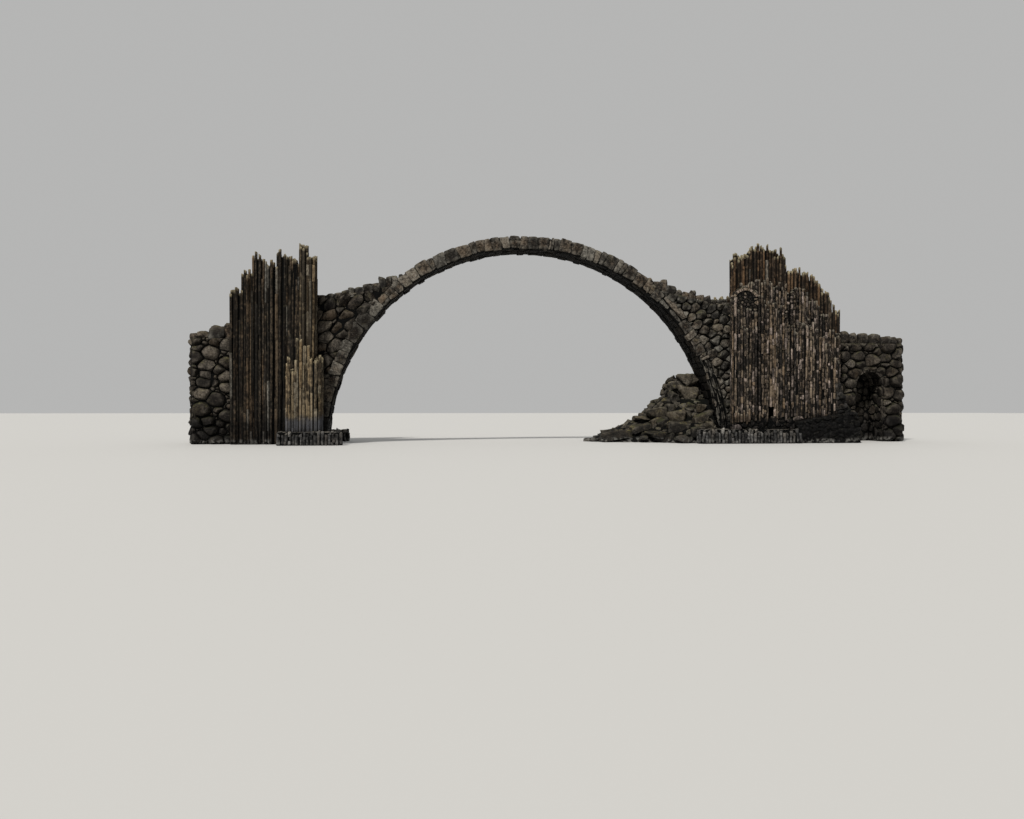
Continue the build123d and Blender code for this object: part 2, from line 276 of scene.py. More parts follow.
def box_block(bag, x0, x1, y0, y1, z0, z1, rng, tone, template=CUBE4, chamfer=0.08, chops=2, amp=0.014):
    p = cut_cube(template, rng, chamfer, chops)
    q = p * np.array([(x1 - x0) / 2, (y1 - y0) / 2, (z1 - z0) / 2]) + np.array([(x0 + x1) / 2, (y0 + y1) / 2, (z0 + z1) / 2])
    bag.solid(q, [template[1]], tone, amp, rng.uniform(-40, 40, 3))



def sphere_template(level):
    bm = bmesh.new()
    bmesh.ops.create_icosphere(bm, subdivisions=level, radius=1.0)
    bm.verts.ensure_lookup_table()
    v = np.array([x.co[:] for x in bm.verts])
    f = np.array([[q.index for q in x.verts] for x in bm.faces])
    bm.free()
    return v, f


BALLS = {2: sphere_template(2), 3: sphere_template(3), 4: sphere_template(4)}


def rotation(rng, about_z=180.0, tip=12.0):
    a, b, c = np.radians([rng.uniform(-about_z, about_z), rng.uniform(-tip, tip), rng.uniform(-tip, tip)])
    rz = np.array([[math.cos(a), -math.sin(a), 0], [math.sin(a), math.cos(a), 0], [0, 0, 1]])
    ry = np.array([[math.cos(b), 0, math.sin(b)], [0, 1, 0], [-math.sin(b), 0, math.cos(b)]])
    rx = np.array([[1, 0, 0], [0, math.cos(c), -math.sin(c)], [0, math.sin(c), math.cos(c)]])
    return rz @ ry @ rx


def tilt_y(deg):
    """Raises the right-hand end for a negative angle."""
    b = math.radians(deg)
    return np.array([[math.cos(b), 0, math.sin(b)], [0, 1, 0], [-math.sin(b), 0, math.cos(b)]])


def rock(bag, centre, size, rng, tone, level=3, planes=12, power=14.0, rot=None, amp=0.02, boxy=0.5):
    """Broken rock: half sizes in size, cut by random planes with softened edges."""
    tpl = BALLS[level]
    d = tpl[0]
    n = rng.normal(size=(planes, 3))
    n /= np.linalg.norm(n, axis=1)[:, None]
    h = rng.uniform(0.68, 0.98, planes)
    axes = np.array([[1, 0, 0], [-1, 0, 0], [0, 1, 0], [0, -1, 0], [0, 0, 1], [0, 0, -1]], float)
    axes = axes + rng.normal(0, 0.16, (6, 3))
    axes /= np.linalg.norm(axes, axis=1)[:, None]
    n = np.concatenate([n, axes])
    h = np.concatenate([h + (1 - boxy) * 0.1, np.full(6, 0.86 - 0.12 * boxy) + rng.uniform(-0.05, 0.1, 6)])
    r = (np.maximum(d @ n.T / h[None, :], 0.0) ** power).sum(1) ** (-1.0 / power)
    v = d * r[:, None] * np.asarray(size)
    if rot is None:
        rot = rotation(rng)
    v = v @ rot.T + np.asarray(centre)
    bag.solid(v, [tpl[1]], tone, amp, rng.uniform(-40, 40, 3))


def cell_rock(bag, poly, origin, ux, vx, nx, rng, tone, proud=0.08, back=0.14, level=2, power=16.0, inset=0.008, lean=(3, 22),
              chops=3, tilt=0.25, amp=0.014, cut=(0.72, 0.96)):
    """A stone that fills its outline in the wall's plane, with flat broken faces towards the outside."""
    p = np.asarray(poly, float)
    q = np.roll(p, -1, 0)
    cr = p[:, 0] * q[:, 1] - q[:, 0] * p[:, 1]
    area = cr.sum() / 2
    if abs(area) < 0.0016:
        return
    c = ((p + q) * cr[:, None]).sum(0) / (6 * area)
    e = q - p
    length = np.hypot(e[:, 0], e[:, 1])
    ok = length > 1e-4
    p, q, e, length = p[ok], q[ok], e[ok], length[ok]
    n2 = np.stack([e[:, 1], -e[:, 0]], 1) / length[:, None] * np.sign(area)
    h2 = np.maximum(((p - c) * n2).sum(1), 0.012)
    h2 = np.maximum(h2 - inset, h2 * 0.6)
    wc = (proud - back) / 2
    half = (proud + back) / 2
    phi = np.radians(rng.uniform(lean[0], lean[1], len(p)))
    normals = [np.stack([n2[:, 0] * np.cos(phi), n2[:, 1] * np.cos(phi), np.sin(phi)], 1)]
    dist = [h2 * np.cos(phi) - np.sin(phi) * wc]
    t = np.array([rng.normal(0, tilt), rng.normal(0, tilt), 1.0])
    t /= np.linalg.norm(t)
    normals.append(t[None, :])
    dist.append(np.array([half * t[2]]))
    normals.append(np.array([[0, 0, -1.0]]))
    dist.append(np.array([half]))
    reach = np.hypot(*(p - c).T)
    for _ in range(chops):
        a, el = rng.uniform(0, 2 * math.pi), math.radians(rng.uniform(22, 62))
        n = np.array([math.cos(a) * math.cos(el), math.sin(a) * math.cos(el), math.sin(el)])
        sup = ((p - c) @ n[:2]).max() + n[2] * half
        normals.append(n[None, :])
        dist.append(np.array([max(sup * rng.uniform(*cut), 0.35 * half)]))
    n = np.concatenate(normals)
    h = np.maximum(np.concatenate(dist), 0.01)
    d = BALLS[level][0] * np.array([1.0, 1.0, max(0.5, min(1.0, half / max(reach.mean(), 1e-3)))])
    d = d / np.linalg.norm(d, axis=1)[:, None]
    r = (np.maximum(d @ n.T / h[None, :], 0.0) ** power).sum(1) ** (-1.0 / power)
    w = d * r[:, None]
    v = np.asarray(origin) + (w[:, :1] + c[0]) * ux + (w[:, 1:2] + c[1]) * vx + (w[:, 2:] + wc) * nx
    bag.solid(v, [BALLS[level][1]], tone, amp, rng.uniform(-40, 40, 3))



# ---------------------------------------------------------------- stone cells on a wall
def clip(poly, nx, ny, d):
    out = []
    n = len(poly)
    for i in range(n):
        a, b = poly[i], poly[(i + 1) % n]
        fa, fb = nx * a[0] + ny * a[1] - d, nx * b[0] + ny * b[1] - d
        if fa <= 0:
            out.append(a)
        if (fa < 0 < fb) or (fb < 0 < fa):
            t = fa / (fa - fb)
            out.append((a[0] + (b[0] - a[0]) * t, a[1] + (b[1] - a[1]) * t))
    return out


def stretch_of(angle, s):
    """Measure of distance that makes stones longer along the given direction."""
    a = math.radians(angle)
    r = np.array([[math.cos(a), math.sin(a)], [-math.sin(a), math.cos(a)]])
    return r.T @ np.diag([1 / s, s]) @ r


def scatter(box, inside, sizes, rng, m, fill=1.35, tight=0.80, tries=50, fixed=()):
    """Sites with a radius each, large ones first. sizes is (smallest, largest, bias)."""
    x0, x1, z0, z1 = box
    lo, hi, bias = sizes
    area, radii = 0.0, []
    while area < (x1 - x0) * (z1 - z0) * fill:
        r = lo + (hi - lo) * rng.random() ** bias
        radii.append(r)
        area += math.pi * r * r
    radii.sort(reverse=True)
    small = int((x1 - x0) * (z1 - z0) / (lo * lo) * 2.5)
    pts = np.zeros((len(radii) + small + len(fixed), 2))
    rr = np.zeros(len(pts))
    n = 0
    for f in fixed:
        pts[n], rr[n] = f[:2], f[2]
        n += 1
    for r in radii + [lo] * small:
        for _ in range(tries if r > lo else 1):
            c = (rng.uniform(x0, x1), rng.uniform(z0, z1))
            if not inside(c[0], c[1], r):
                continue
            if n and (np.hypot(*((pts[:n] - c) @ m.T).T) < tight * (rr[:n] + r)).any():
                continue
            pts[n], rr[n] = c, r
            n += 1
            break
    return pts[:n], rr[:n]


def cells(box, inside, sizes, limits, rng, tight=0.80, fixed=(), grain=(0.0, 1.0)):
    m = stretch_of(*grain)
    back = np.linalg.inv(m)
    sites, rr = scatter(box, inside, sizes, rng, m, tight=tight, fixed=fixed)
    pts = sites @ m.T
    out = []
    for i in range(len(pts)):
        px, pz = pts[i]
        dd = (pts[:, 0] - px) ** 2 + (pts[:, 1] - pz) ** 2
        order = np.argsort(dd)[1:18]
        reach = rr[i] * 2.3
        poly = [(px + reach * math.cos(a), pz + reach * math.sin(a)) for a in np.linspace(0, 2 * math.pi, 9)[:-1]]
        for j in order:
            qx, qz = pts[j]
            d = (qx * qx + qz * qz - px * px - pz * pz - rr[j] ** 2 + rr[i] ** 2) / 2
            poly = clip(poly, qx - px, qz - pz, d)
            if len(poly) < 3:
                break
        if len(poly) < 3:
            continue
        poly = [tuple(q) for q in np.array(poly) @ back.T]
        for nx, nz, d in limits(*sites[i]):
            if len(poly) >= 3:
                poly = clip(poly, nx, nz, d)
        if len(poly) >= 3:
            p = np.array(poly)
            if np.ptp(p[:, 0]) > 0.05 and np.ptp(p[:, 1]) > 0.05:
                out.append((p, rr[i], fixed[i][3] if i < len(fixed) else None))
    return out


def rubble(bag, box, inside, sizes, limits, rng, place, proud=(0.04, 0.14), bright=0.42, brown=0.5, pale=0.1, spread=0.22,
           tight=0.80, fixed=(), coarse=0.3, grain=(0.0, 1.0), **shape):
    """Fills a wall with stones. place(u, v) gives origin, ux, vx, nx of the wall's plane there."""
    for poly, r, own in cells(box, inside, sizes, limits, rng, tight, fixed, grain):
        c = poly.mean(0)
        o, ux, vx, nx = place(c[0], c[1])
        d = rng.uniform(*proud) * (0.7 + 0.5 * min(1.0, r / sizes[1]))
        cell_rock(bag, poly, o, ux, vx, nx, rng, own or tone_of(rng, bright, spread, brown, pale), proud=d,
                  back=0.10 + 0.3 * r, level=3 if r > coarse else 2, **shape)


ROUND = dict(power=12.0, lean=(6, 30), chops=4, tilt=0.3, amp=0.022, cut=(0.7, 0.96))
BROKEN = dict(power=34.0, lean=(-4, 14), chops=5, tilt=0.36, amp=0.018, cut=(0.6, 0.93))
ANGULAR = dict(power=30.0, lean=(-2, 20), chops=5, tilt=0.38, amp=0.022, cut=(0.6, 0.93))


# ---------------------------------------------------------------- columns
class Columns:
    """Upright prisms, each a stack of lengths. Kept as rows of numbers and turned into a mesh in one go."""

    def __init__(self):
        self.rows = []

    def column(self, x, y, z0, z1, rng, r=0.07, seg=(0.4, 1.2), lean=0.0, bright=0.45, spread=0.16, brown=0.5, pale=0.1,
               tipped=True, wander=0.008, step_out=0.0, out=(0.0, 0.0), vary=0.11):
        if z1 - z0 < 0.03:
            return
        rot = rng.uniform(0, math.pi)
        base = tone_of(rng, bright, spread, brown, 0.0)
        base = (max(base[0], 0.55 * bright),) + base[1:]
        lx, ly = rng.normal(0, lean, 2)
        z = z0
        first = True
        while z < z1 - 1e-6:
            lo, hi = seg(x, z) if callable(seg) else seg
            length = lo + (hi - lo) * rng.random() ** 1.5
            if z + length > z1 - 0.5 * lo:
                length = z1 - z
            last = z + length > z1 - 1e-6
            k = z - z0
            p = rng.uniform(0.4, 1.0) if rng.random() < pale else rng.uniform(0, 0.08)
            b = float(np.clip(base[0] + rng.normal(0, vary), 0.02, 1.0))
            g = float(np.clip(base[1] + rng.normal(0, 0.12), 0.0, 1.0))
            ox, oy = rng.normal(0, wander, 2)
            so = rng.uniform(-0.35 * step_out, step_out)
            if step_out and rng.random() < 0.14:
                so = -0.045
            self.rows.append((x + lx * k + ox + out[0] * so, y + ly * k + oy + out[1] * so, z - (0.0 if first else 0.004), z + length,
                              r * rng.uniform(0.86, 1.1), rot + rng.normal(0, 0.2), b, g, p,
                              1.0 if (last and tipped) else 0.0, rng.normal(0, 0.4 if last else 0.12),
                              rng.normal(0, 0.4 if last else 0.12), lx, ly))
            z += length
            first = False

    def into(self, bag, rng):
        if not self.rows:
            return
        a = np.array(self.rows)
        n, k = len(a), 6
        ang = a[:, 5:6] + np.arange(k)[None, :] * (2 * math.pi / k) + rng.normal(0, 0.14, (n, k))
        rad = a[:, 4:5] * rng.uniform(0.86, 1.08, (n, k))
        h = a[:, 3] - a[:, 2]
        c = np.minimum(0.022, h * 0.2)
        t = np.minimum(0.16, h * 0.45)
        levels = [(a[:, 2], 0.86), (a[:, 2] + c, 1.0), (a[:, 3] - t, 1.0), (a[:, 3] - c, 0.99), (a[:, 3], 0.84)]
        dx, dy = np.cos(ang) * rad, np.sin(ang) * rad
        rings, tones = [], []
        for i, (z, f) in enumerate(levels):
            x = a[:, 0:1] + dx * f + a[:, 12:13] * (z - a[:, 2])[:, None]
            y = a[:, 1:2] + dy * f + a[:, 13:14] * (z - a[:, 2])[:, None]
            zz = np.broadcast_to(z[:, None], (n, k)).copy()
            if i >= 3:
                zz += np.clip(a[:, 10:11] * dx + a[:, 11:12] * dy, -0.05, 0.05) * f
            rings.append(np.stack([x, y, zz], 2))
            tone = np.stack([a[:, 6], a[:, 7], a[:, 8], a[:, 9] * (1.0 if i >= 3 else 0.0)], 1)
            tones.append(np.broadcast_to(tone[:, None, :], (n, k, 4)))
        v = np.concatenate(rings, 1)
        tt = np.concatenate(tones, 1)
        bottom = np.stack([a[:, 0], a[:, 1], a[:, 2]], 1)[:, None, :]
        top = np.stack([a[:, 0] + a[:, 12] * h, a[:, 1] + a[:, 13] * h, a[:, 3] + 0.004], 1)[:, None, :]
        v = np.concatenate([v, bottom, top], 1)
        tt = np.concatenate([tt, tt[:, :1], tt[:, -1:]], 1)
        m = v.shape[1]
        i = np.arange(k)
        j = (i + 1) % k
        quads = np.concatenate([np.stack([i + k * q, j + k * q, j + k * (q + 1), i + k * (q + 1)], 1) for q in range(4)])
        caps = np.concatenate([np.stack([j, i, np.full(k, m - 2)], 1), np.stack([i + k * 4, j + k * 4, np.full(k, m - 1)], 1)])
        shift = (np.arange(n) * m)[:, None, None]
        bag.add(v.reshape(-1, 3), [(quads[None] + shift).reshape(-1, 4), (caps[None] + shift).reshape(-1, 3)],
                tt.reshape(-1, 4), 0.006, (0, 0, 0))


def top_of(rows, x, pad=0.0, none=0.0):
    """Height of the bundle at x, the lowest within pad of it."""
    best = None
    for q in (x - pad, x, x + pad):
        h = none
        for a, b, z in rows:
            if a <= q <= b:
                h = z
        best = h if best is None else min(best, h)
    return best


def column_row(cols, rows, y_in, y_out, sign, side, rng, base, tip, step=0.146, r=0.07, seg=(0.4, 1.2), inner=None,
               crown=(0.03, 0.38), style=None, skip=None, low_in=None, ends=(True, True), jitter=0.012, deep=0.035):
    """All columns of one row of bundles: the outer skin, the two ends, the skin towards the path and the tops between."""
    style = style or {}

    def put(x, y, z0, z1, **kw):
        parts = skip(x, y, z0, z1) if skip else None
        for za, zb in parts or [(z0, z1)]:
            cols.column(side * x, sign * y, za, zb, rng, **{**style, **kw})


    first, last = rows[0][0], rows[-1][1]
    for lo, hi, top in rows:
        c = min(0.15, (hi - lo) * 0.28)
        line = np.array([(lo, y_out - FACET), (lo + c, y_out), (hi - c, y_out), (hi, y_out - FACET)])
        seglen = np.hypot(*(np.diff(line, axis=0).T))
        total = seglen.sum()
        n = max(2, int(round(total / step)))
        for i in range(n):
            s = (i + 0.5) / n * total
            for k in range(3):
                if s <= seglen[k] or k == 2:
                    t = s / seglen[k]
                    break
                s -= seglen[k]
            p = line[k] + (line[k + 1] - line[k]) * t
            x, y = p[0] + rng.normal(0, 0.008), p[1] - 0.035 + rng.normal(0, 0.012)
            x, y = p[0] + rng.normal(0, 0.008), p[1] - deep + float(np.clip(rng.normal(0, jitter), -0.018, 0.05))
            z1 = max(tip(x, top, rng), top + 0.03)
            put(x, y, base(x), z1, r=r, seg=seg, out=(0.0, float(sign)))
        if lo > first + 0.01:
            put(lo, y_out - 0.5 * FACET - deep, base(lo), max(tip(lo, min(top, top_of(rows, lo - 0.05)), rng), 0.5), r=r * 1.1, seg=seg,
                out=(0.0, float(sign)))
        # tops behind the skin
        ny = int((y_out - 0.13 - y_in) / 0.15)
        nx = max(1, int(round((hi - lo) / 0.155)))
        for j in range(ny):
            for i in range(nx):
                x = lo + (i + 0.5) / nx * (hi - lo) + rng.normal(0, 0.012)
                y = y_out - 0.15 - (j + 0.4) * (y_out - 0.15 - y_in) / max(ny, 1) + rng.normal(0, 0.012)
                low = top_of(rows, x, 0.17)
                z0 = min(top, low) - 0.1
                if (x < first + 0.17 and ends[0]) or (x > last - 0.17 and ends[1]):
                    z0 = base(x)
                cap = max(tip(x, top, rng) - rng.uniform(0.02, 0.4), top + 0.03)
                z1 = min(cap, top + rng.uniform(*crown))
                put(x, y, z0, z1, r=r * 1.1, seg=(0.5, 1.5))
    # ends
    for which, x in ((0, first + 0.01), (1, last - 0.01)):
        if not ends[which]:
            continue
        top = rows[0][2] if which == 0 else rows[-1][2]
        n = max(1, int(round((y_out - FACET - y_in) / step)))
        for i in range(n):
            y = y_in + (i + 0.5) / n * (y_out - FACET - y_in)
            put(x + rng.normal(0, 0.008), y, low_in if low_in is not None else 0.0, top + rng.uniform(*crown), r=r, seg=seg)
    # skin towards the path
    if inner is not None:
        n = int(round((last - first) / step))
        for i in range(n):
            x = first + (i + 0.5) / n * (last - first)
            top = top_of(rows, x)
            cols.column(side * x, sign * (y_in + 0.035), inner(x), top + rng.uniform(*crown), rng, r=r, seg=(0.6, 1.8), **style)


# ---------------------------------------------------------------- materials
def material(name, dark, light, brown, pale=(0.40, 0.38, 0.33), lichen=(0.33, 0.30, 0.14), moss=(0.05, 0.06, 0.02),
             streak=False, tip=(0.34, 0.29, 0.19), damp=1.15, moss_amount=0.3, lichen_amount=0.35, bump=0.7, rough=0.86,
             grain=1.0, painted_top_highlight=0.3, speck=0.5, curve=(0.14, 0.96), edge=0.4, k=1.0, damp_tint=None):
    light = (light[0] * k, light[1] * k * 0.92, light[2] * k * 0.79)
    pale = tuple(q * 0.5 for q in pale)
    lichen = tuple(q * 0.62 for q in lichen)
    tip = tuple(q * 0.85 for q in tip) if tip else None
    m = bpy.data.materials.new(name)
    m.use_nodes = True
    nt = m.node_tree
    nt.nodes.clear()
    new, link = nt.nodes.new, nt.links.new

    def feed(socket, value):
        if isinstance(value, bpy.types.NodeSocket):
            link(value, socket)
        elif isinstance(value, (tuple, list)) and len(value) == 3 and socket.type == "RGBA":
            socket.default_value = (*value, 1.0)
        else:
            socket.default_value = value

    def calc(op, a, b=0.5, clamp=False):
        q = new("ShaderNodeMath")
        q.operation = op
        q.use_clamp = clamp
        feed(q.inputs[0], a)
        feed(q.inputs[1], b)
        return q.outputs[0]

    def mix(fac, a, b, kind="MIX"):
        q = new("ShaderNodeMix")
        q.data_type = "RGBA"
        q.blend_type = kind
        q.clamp_factor = True
        feed(q.inputs[0], fac)
        feed(q.inputs[6], a)
        feed(q.inputs[7], b)
        return q.outputs[2]

    def step(value, lo, hi, a=0.0, b=1.0):
        q = new("ShaderNodeMapRange")
        q.interpolation_type = "SMOOTHSTEP"
        feed(q.inputs[0], value)
        q.inputs[1].default_value, q.inputs[2].default_value = lo, hi
        q.inputs[3].default_value, q.inputs[4].default_value = a, b
        return q.outputs[0]

    def noise(vec, scale, detail=4.0, roughness=0.55):
        q = new("ShaderNodeTexNoise")
        feed(q.inputs["Vector"], vec)
        q.inputs["Scale"].default_value = scale
        q.inputs["Detail"].default_value = detail
        q.inputs["Roughness"].default_value = roughness
        return q.outputs[0]

    coord = new("ShaderNodeTexCoord").outputs["Object"]
    split = new("ShaderNodeSeparateXYZ")
    link(coord, split.inputs[0])
    z = split.outputs[2]
    at = new("ShaderNodeAttribute")
    at.attribute_name = "tone"
    rgb = new("ShaderNodeSeparateColor")
    link(at.outputs["Color"], rgb.inputs[0])
    t_bright, t_brown, t_pale, t_tip_highlight = rgb.outputs[0], rgb.outputs[1], rgb.outputs[2], at.outputs["Alpha"]
    geo = new("ShaderNodeNewGeometry")
    nsplit = new("ShaderNodeSeparateXYZ")
    link(geo.outputs["Normal"], nsplit.inputs[0])
    up = nsplit.outputs[2]
    # sharp convex edges, for pale wear and a painted edge highlight
    worn_and_highlit_edges = step(geo.outputs["Pointiness"], 0.515, 0.60)

    stretch = new("ShaderNodeMapping")
    link(coord, stretch.inputs[0])
    stretch.inputs["Scale"].default_value = (1, 1, 0.09) if streak else (1, 1, 1)
    along = stretch.outputs[0]
    squat = new("ShaderNodeMapping")
    link(coord, squat.inputs[0])
    squat.inputs["Scale"].default_value = (1, 1, 0.45) if streak else (1, 1, 1)

    wide = noise(coord, 0.9, 4)
    mid = noise(coord, 5.5 * grain, 6, 0.62)
    spots = noise(squat.outputs[0], 13.0, 4, 0.65)
    fine = noise(coord, 42.0 * grain, 5, 0.65)
    lines = noise(along, 24.0 if streak else 11.0, 5, 0.6)
    cells_ = new("ShaderNodeTexVoronoi")
    cells_.feature = "DISTANCE_TO_EDGE"
    link(coord, cells_.inputs["Vector"])
    cells_.inputs["Scale"].default_value = 6.0
    crack = step(cells_.outputs["Distance"], 0.0, 0.045)

    value = calc("ADD", calc("MULTIPLY", t_bright, 0.85), calc("MULTIPLY", calc("SUBTRACT", wide, 0.5), 0.6))
    value = calc("ADD", value, calc("MULTIPLY", calc("SUBTRACT", mid, 0.5), 1.3))
    value = calc("ADD", value, calc("MULTIPLY", calc("SUBTRACT", spots, 0.5), 0.9))
    value = calc("ADD", value, calc("MULTIPLY", calc("SUBTRACT", lines, 0.5), 1.1 if streak else 0.3))
    value = calc("ADD", value, calc("MULTIPLY", calc("SUBTRACT", fine, 0.5), 0.4), clamp=True)
    base = mix(calc("POWER", step(value, *curve), 1.6), dark, light)
    base = mix(calc("MULTIPLY", t_brown, 0.8), base, brown, "MULTIPLY")
    # painted highlight: faces that point upwards are mixed towards the light colour, as if lit from above
    if painted_top_highlight:
        base = mix(calc("MULTIPLY", step(up, 0.2, 0.95), painted_top_highlight), base, light)
    # pale on sharp convex edges: partly worn stone, partly a painted edge highlight
    if edge:
        base = mix(calc("MULTIPLY", worn_and_highlit_edges, calc("MULTIPLY", step(mid, 0.35, 0.6), edge)), base, pale)
    if speck:
        patch = calc("MULTIPLY", step(spots, 0.555, 0.635), calc("ADD", calc("MULTIPLY", t_pale, 1.6), 0.2))
        base = mix(calc("MULTIPLY", patch, speck), base, pale)
    grains = calc("MULTIPLY", step(mid, 0.36, 0.6), step(spots, 0.36, 0.56))
    base = mix(calc("MULTIPLY", t_pale, calc("ADD", calc("MULTIPLY", grains, 0.55), 0.25)), base, pale)
    # painted highlight: the tips of the columns are mixed towards a pale tan colour, for the light on their tops
    if tip:
        base = mix(calc("MULTIPLY", t_tip_highlight, calc("ADD", calc("MULTIPLY", step(lines, 0.35, 0.62), 0.6), 0.2)), base, tip)
    if lichen_amount:
        lich = calc("MULTIPLY", step(noise(coord, 2.3, 5, 0.6), 0.53, 0.66), step(noise(coord, 15.0, 4, 0.6), 0.46, 0.6))
        lich = calc("MULTIPLY", lich, calc("ADD", step(up, -0.2, 0.7), 0.2))
        base = mix(calc("MULTIPLY", lich, lichen_amount), base, lichen)
    if moss_amount:
        green = calc("MULTIPLY", step(up, 0.25, 0.85), step(noise(coord, 1.7, 6, 0.7), 0.45, 0.66))
        base = mix(calc("MULTIPLY", green, moss_amount), base, moss)
    # dark damp band round the foot, with a pale mineral rim at the very bottom
    zz = calc("ADD", z, calc("MULTIPLY", calc("SUBTRACT", noise(coord, 1.4, 3), 0.5), 0.9))
    wet = step(zz, damp - 0.2, damp + 0.2, 1.0, 0.0)
    base = mix(calc("MULTIPLY", wet, 0.9), base, mix(0.92, base, (0.26, 0.275, 0.31), "MULTIPLY"))
    if damp_tint:
        base = mix(calc("MULTIPLY", wet, 0.78), base, damp_tint)
    rim = calc("MULTIPLY", step(z, 0.10, 0.30, 1.0, 0.0), step(noise(coord, 5.0, 4), 0.45, 0.6))
    base = mix(calc("MULTIPLY", rim, 0.5), base, (0.22, 0.215, 0.20))
    base = mix(calc("MULTIPLY", calc("SUBTRACT", 1.0, crack), 0.3), base, dark)
    # painted shade: the colour goes dark where ambient occlusion finds stone close by, in gaps, recesses and under
    # overhangs
    ao = new("ShaderNodeAmbientOcclusion")
    ao.samples = 4
    ao.inputs["Distance"].default_value = 0.26
    base = mix(step(ao.outputs["AO"], 0.25, 0.9, 0.85, 0.0), base, tuple(0.35 * q for q in dark))

    shader = new("ShaderNodeBsdfPrincipled")
    feed(shader.inputs["Base Color"], base)
    rr = calc("ADD", calc("MULTIPLY", fine, 0.16), rough - 0.08)
    feed(shader.inputs["Roughness"], calc("SUBTRACT", rr, calc("MULTIPLY", wet, 0.34), clamp=True))
    shader.inputs["Specular IOR Level"].default_value = 0.06
    height = calc("ADD", calc("MULTIPLY", mid, 0.6), calc("MULTIPLY", fine, 0.2))
    height = calc("ADD", height, calc("MULTIPLY", spots, 0.4))
    height = calc("ADD", height, calc("MULTIPLY", lines, 0.35 if streak else 0.2))
    height = calc("ADD", height, calc("MULTIPLY", crack, 0.12))
    bmp = new("ShaderNodeBump")
    bmp.inputs["Strength"].default_value = bump
    bmp.inputs["Distance"].default_value = 0.06
    link(height, bmp.inputs["Height"])
    link(bmp.outputs[0], shader.inputs["Normal"])
    out = new("ShaderNodeOutputMaterial")
    link(shader.outputs[0], out.inputs[0])
    return m


M_RING = material("basalt_ring", (0.010, 0.009, 0.0085), (0.150, 0.132, 0.115), (0.86, 0.72, 0.60), moss_amount=0.4, k=0.85)
# painted shade: the soffit is the ring's basalt painted near black, for the shade under the arch
M_SOFFIT = material("basalt_soffit", (0.004, 0.004, 0.004), (0.022, 0.020, 0.018), (0.9, 0.8, 0.7), pale=(0.06, 0.055, 0.05),
                    speck=0.2, edge=0.1, lichen_amount=0.0, moss_amount=0.0, painted_top_highlight=0.0, tip=None)
M_RUBBLE_R = material("basalt_cobbles", (0.009, 0.0085, 0.008), (0.175, 0.158, 0.142), (0.88, 0.76, 0.64), lichen_amount=0.4, k=0.68, painted_top_highlight=0.2, curve=(0.2, 0.95))
M_RUBBLE_L = material("basalt_blocks", (0.009, 0.008, 0.0075), (0.145, 0.125, 0.108), (0.86, 0.70, 0.55), lichen_amount=0.25, k=0.36, painted_top_highlight=0.1,
                      pale=(0.27, 0.24, 0.20), curve=(0.22, 0.95))
M_TREAD = material("basalt_treads", (0.025, 0.023, 0.021), (0.19, 0.172, 0.152), (0.86, 0.76, 0.66), moss_amount=0.45)
M_REAR = material("columns_rear", (0.014, 0.011, 0.009), (0.165, 0.132, 0.104), (0.80, 0.62, 0.46), streak=True, k=0.85, curve=(0.2, 0.95),
                  tip=(0.42, 0.37, 0.24), lichen_amount=0.25, painted_top_highlight=0.2, speck=0.2, edge=0.0)
M_FRONT = material("columns_front", (0.009, 0.0085, 0.008), (0.175, 0.155, 0.135), (0.82, 0.69, 0.56), streak=True, k=1.0, curve=(0.22, 0.94),
                   pale=(0.66, 0.54, 0.47), tip=(0.22, 0.20, 0.16), lichen_amount=0.2, painted_top_highlight=0.15, speck=0.8, edge=0.0)
# painted light and shade: the column stone comes as a lighter copy for the forward pilaster and skirt, and a darker
# copy for the recessed screen in shade
M_LIGHT = material("columns_painted_lit", (0.030, 0.025, 0.019), (0.33, 0.29, 0.225), (0.86, 0.70, 0.50), streak=True, k=0.66, curve=(0.2, 0.95),
                   pale=(0.44, 0.39, 0.30), lichen_amount=0.35, painted_top_highlight=0.1, speck=0.4, edge=0.0, damp=1.25, damp_tint=(0.075, 0.078, 0.088))
M_DARK = material("columns_painted_shade", (0.009, 0.008, 0.007), (0.130, 0.108, 0.086), (0.80, 0.66, 0.54), streak=True, k=0.8,
                  lichen_amount=0.15, painted_top_highlight=0.1, speck=0.2, edge=0.0)
M_DAMP = material("basalt_ledge", (0.008, 0.008, 0.0085), (0.115, 0.110, 0.105), (0.88, 0.80, 0.72), damp=0.6, k=1.55,
                  pale=(0.66, 0.63, 0.58), moss_amount=0.2, lichen_amount=0.15, edge=0.2)
M_WING = material("wing_boulders", (0.010, 0.009, 0.0085), (0.155, 0.137, 0.118), (0.86, 0.72, 0.58), lichen_amount=0.25, k=0.3, painted_top_highlight=0.1,
                  pale=(0.26, 0.23, 0.19), curve=(0.22, 0.95))
M_HEAP = material("heap_rocks", (0.012, 0.0115, 0.011), (0.215, 0.188, 0.150), (0.92, 0.80, 0.62), lichen=(0.30, 0.25, 0.10),
                  lichen_amount=0.6, damp=0.5, moss_amount=0.3, painted_top_highlight=0.15, k=0.27, pale=(0.30, 0.27, 0.22), curve=(0.2, 0.95))
M_FOOT = material("basalt_footing", (0.005, 0.005, 0.005), (0.060, 0.055, 0.050), (0.88, 0.80, 0.72), damp=1.7, pale=(0.16, 0.15, 0.14),
                  moss_amount=0.1, lichen_amount=0.1, edge=0.1, painted_top_highlight=0.1)
M_JOINT = material("joint_rubble", (0.003, 0.003, 0.003), (0.022, 0.019, 0.017), (0.85, 0.75, 0.65), pale=(0.04, 0.04, 0.04),
                   tip=None, lichen_amount=0.0, moss_amount=0.1, painted_top_highlight=0.0, grain=2.0, bump=0.9, speck=0.0, edge=0.0)

for name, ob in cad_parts.items():
    ob.data.materials.clear()
    ob.data.materials.append(M_JOINT)

# ---------------------------------------------------------------- the arch: face stones, soffit stones and edge stones
TH_H = ang_at(R_KERB, HAUNCH_X)


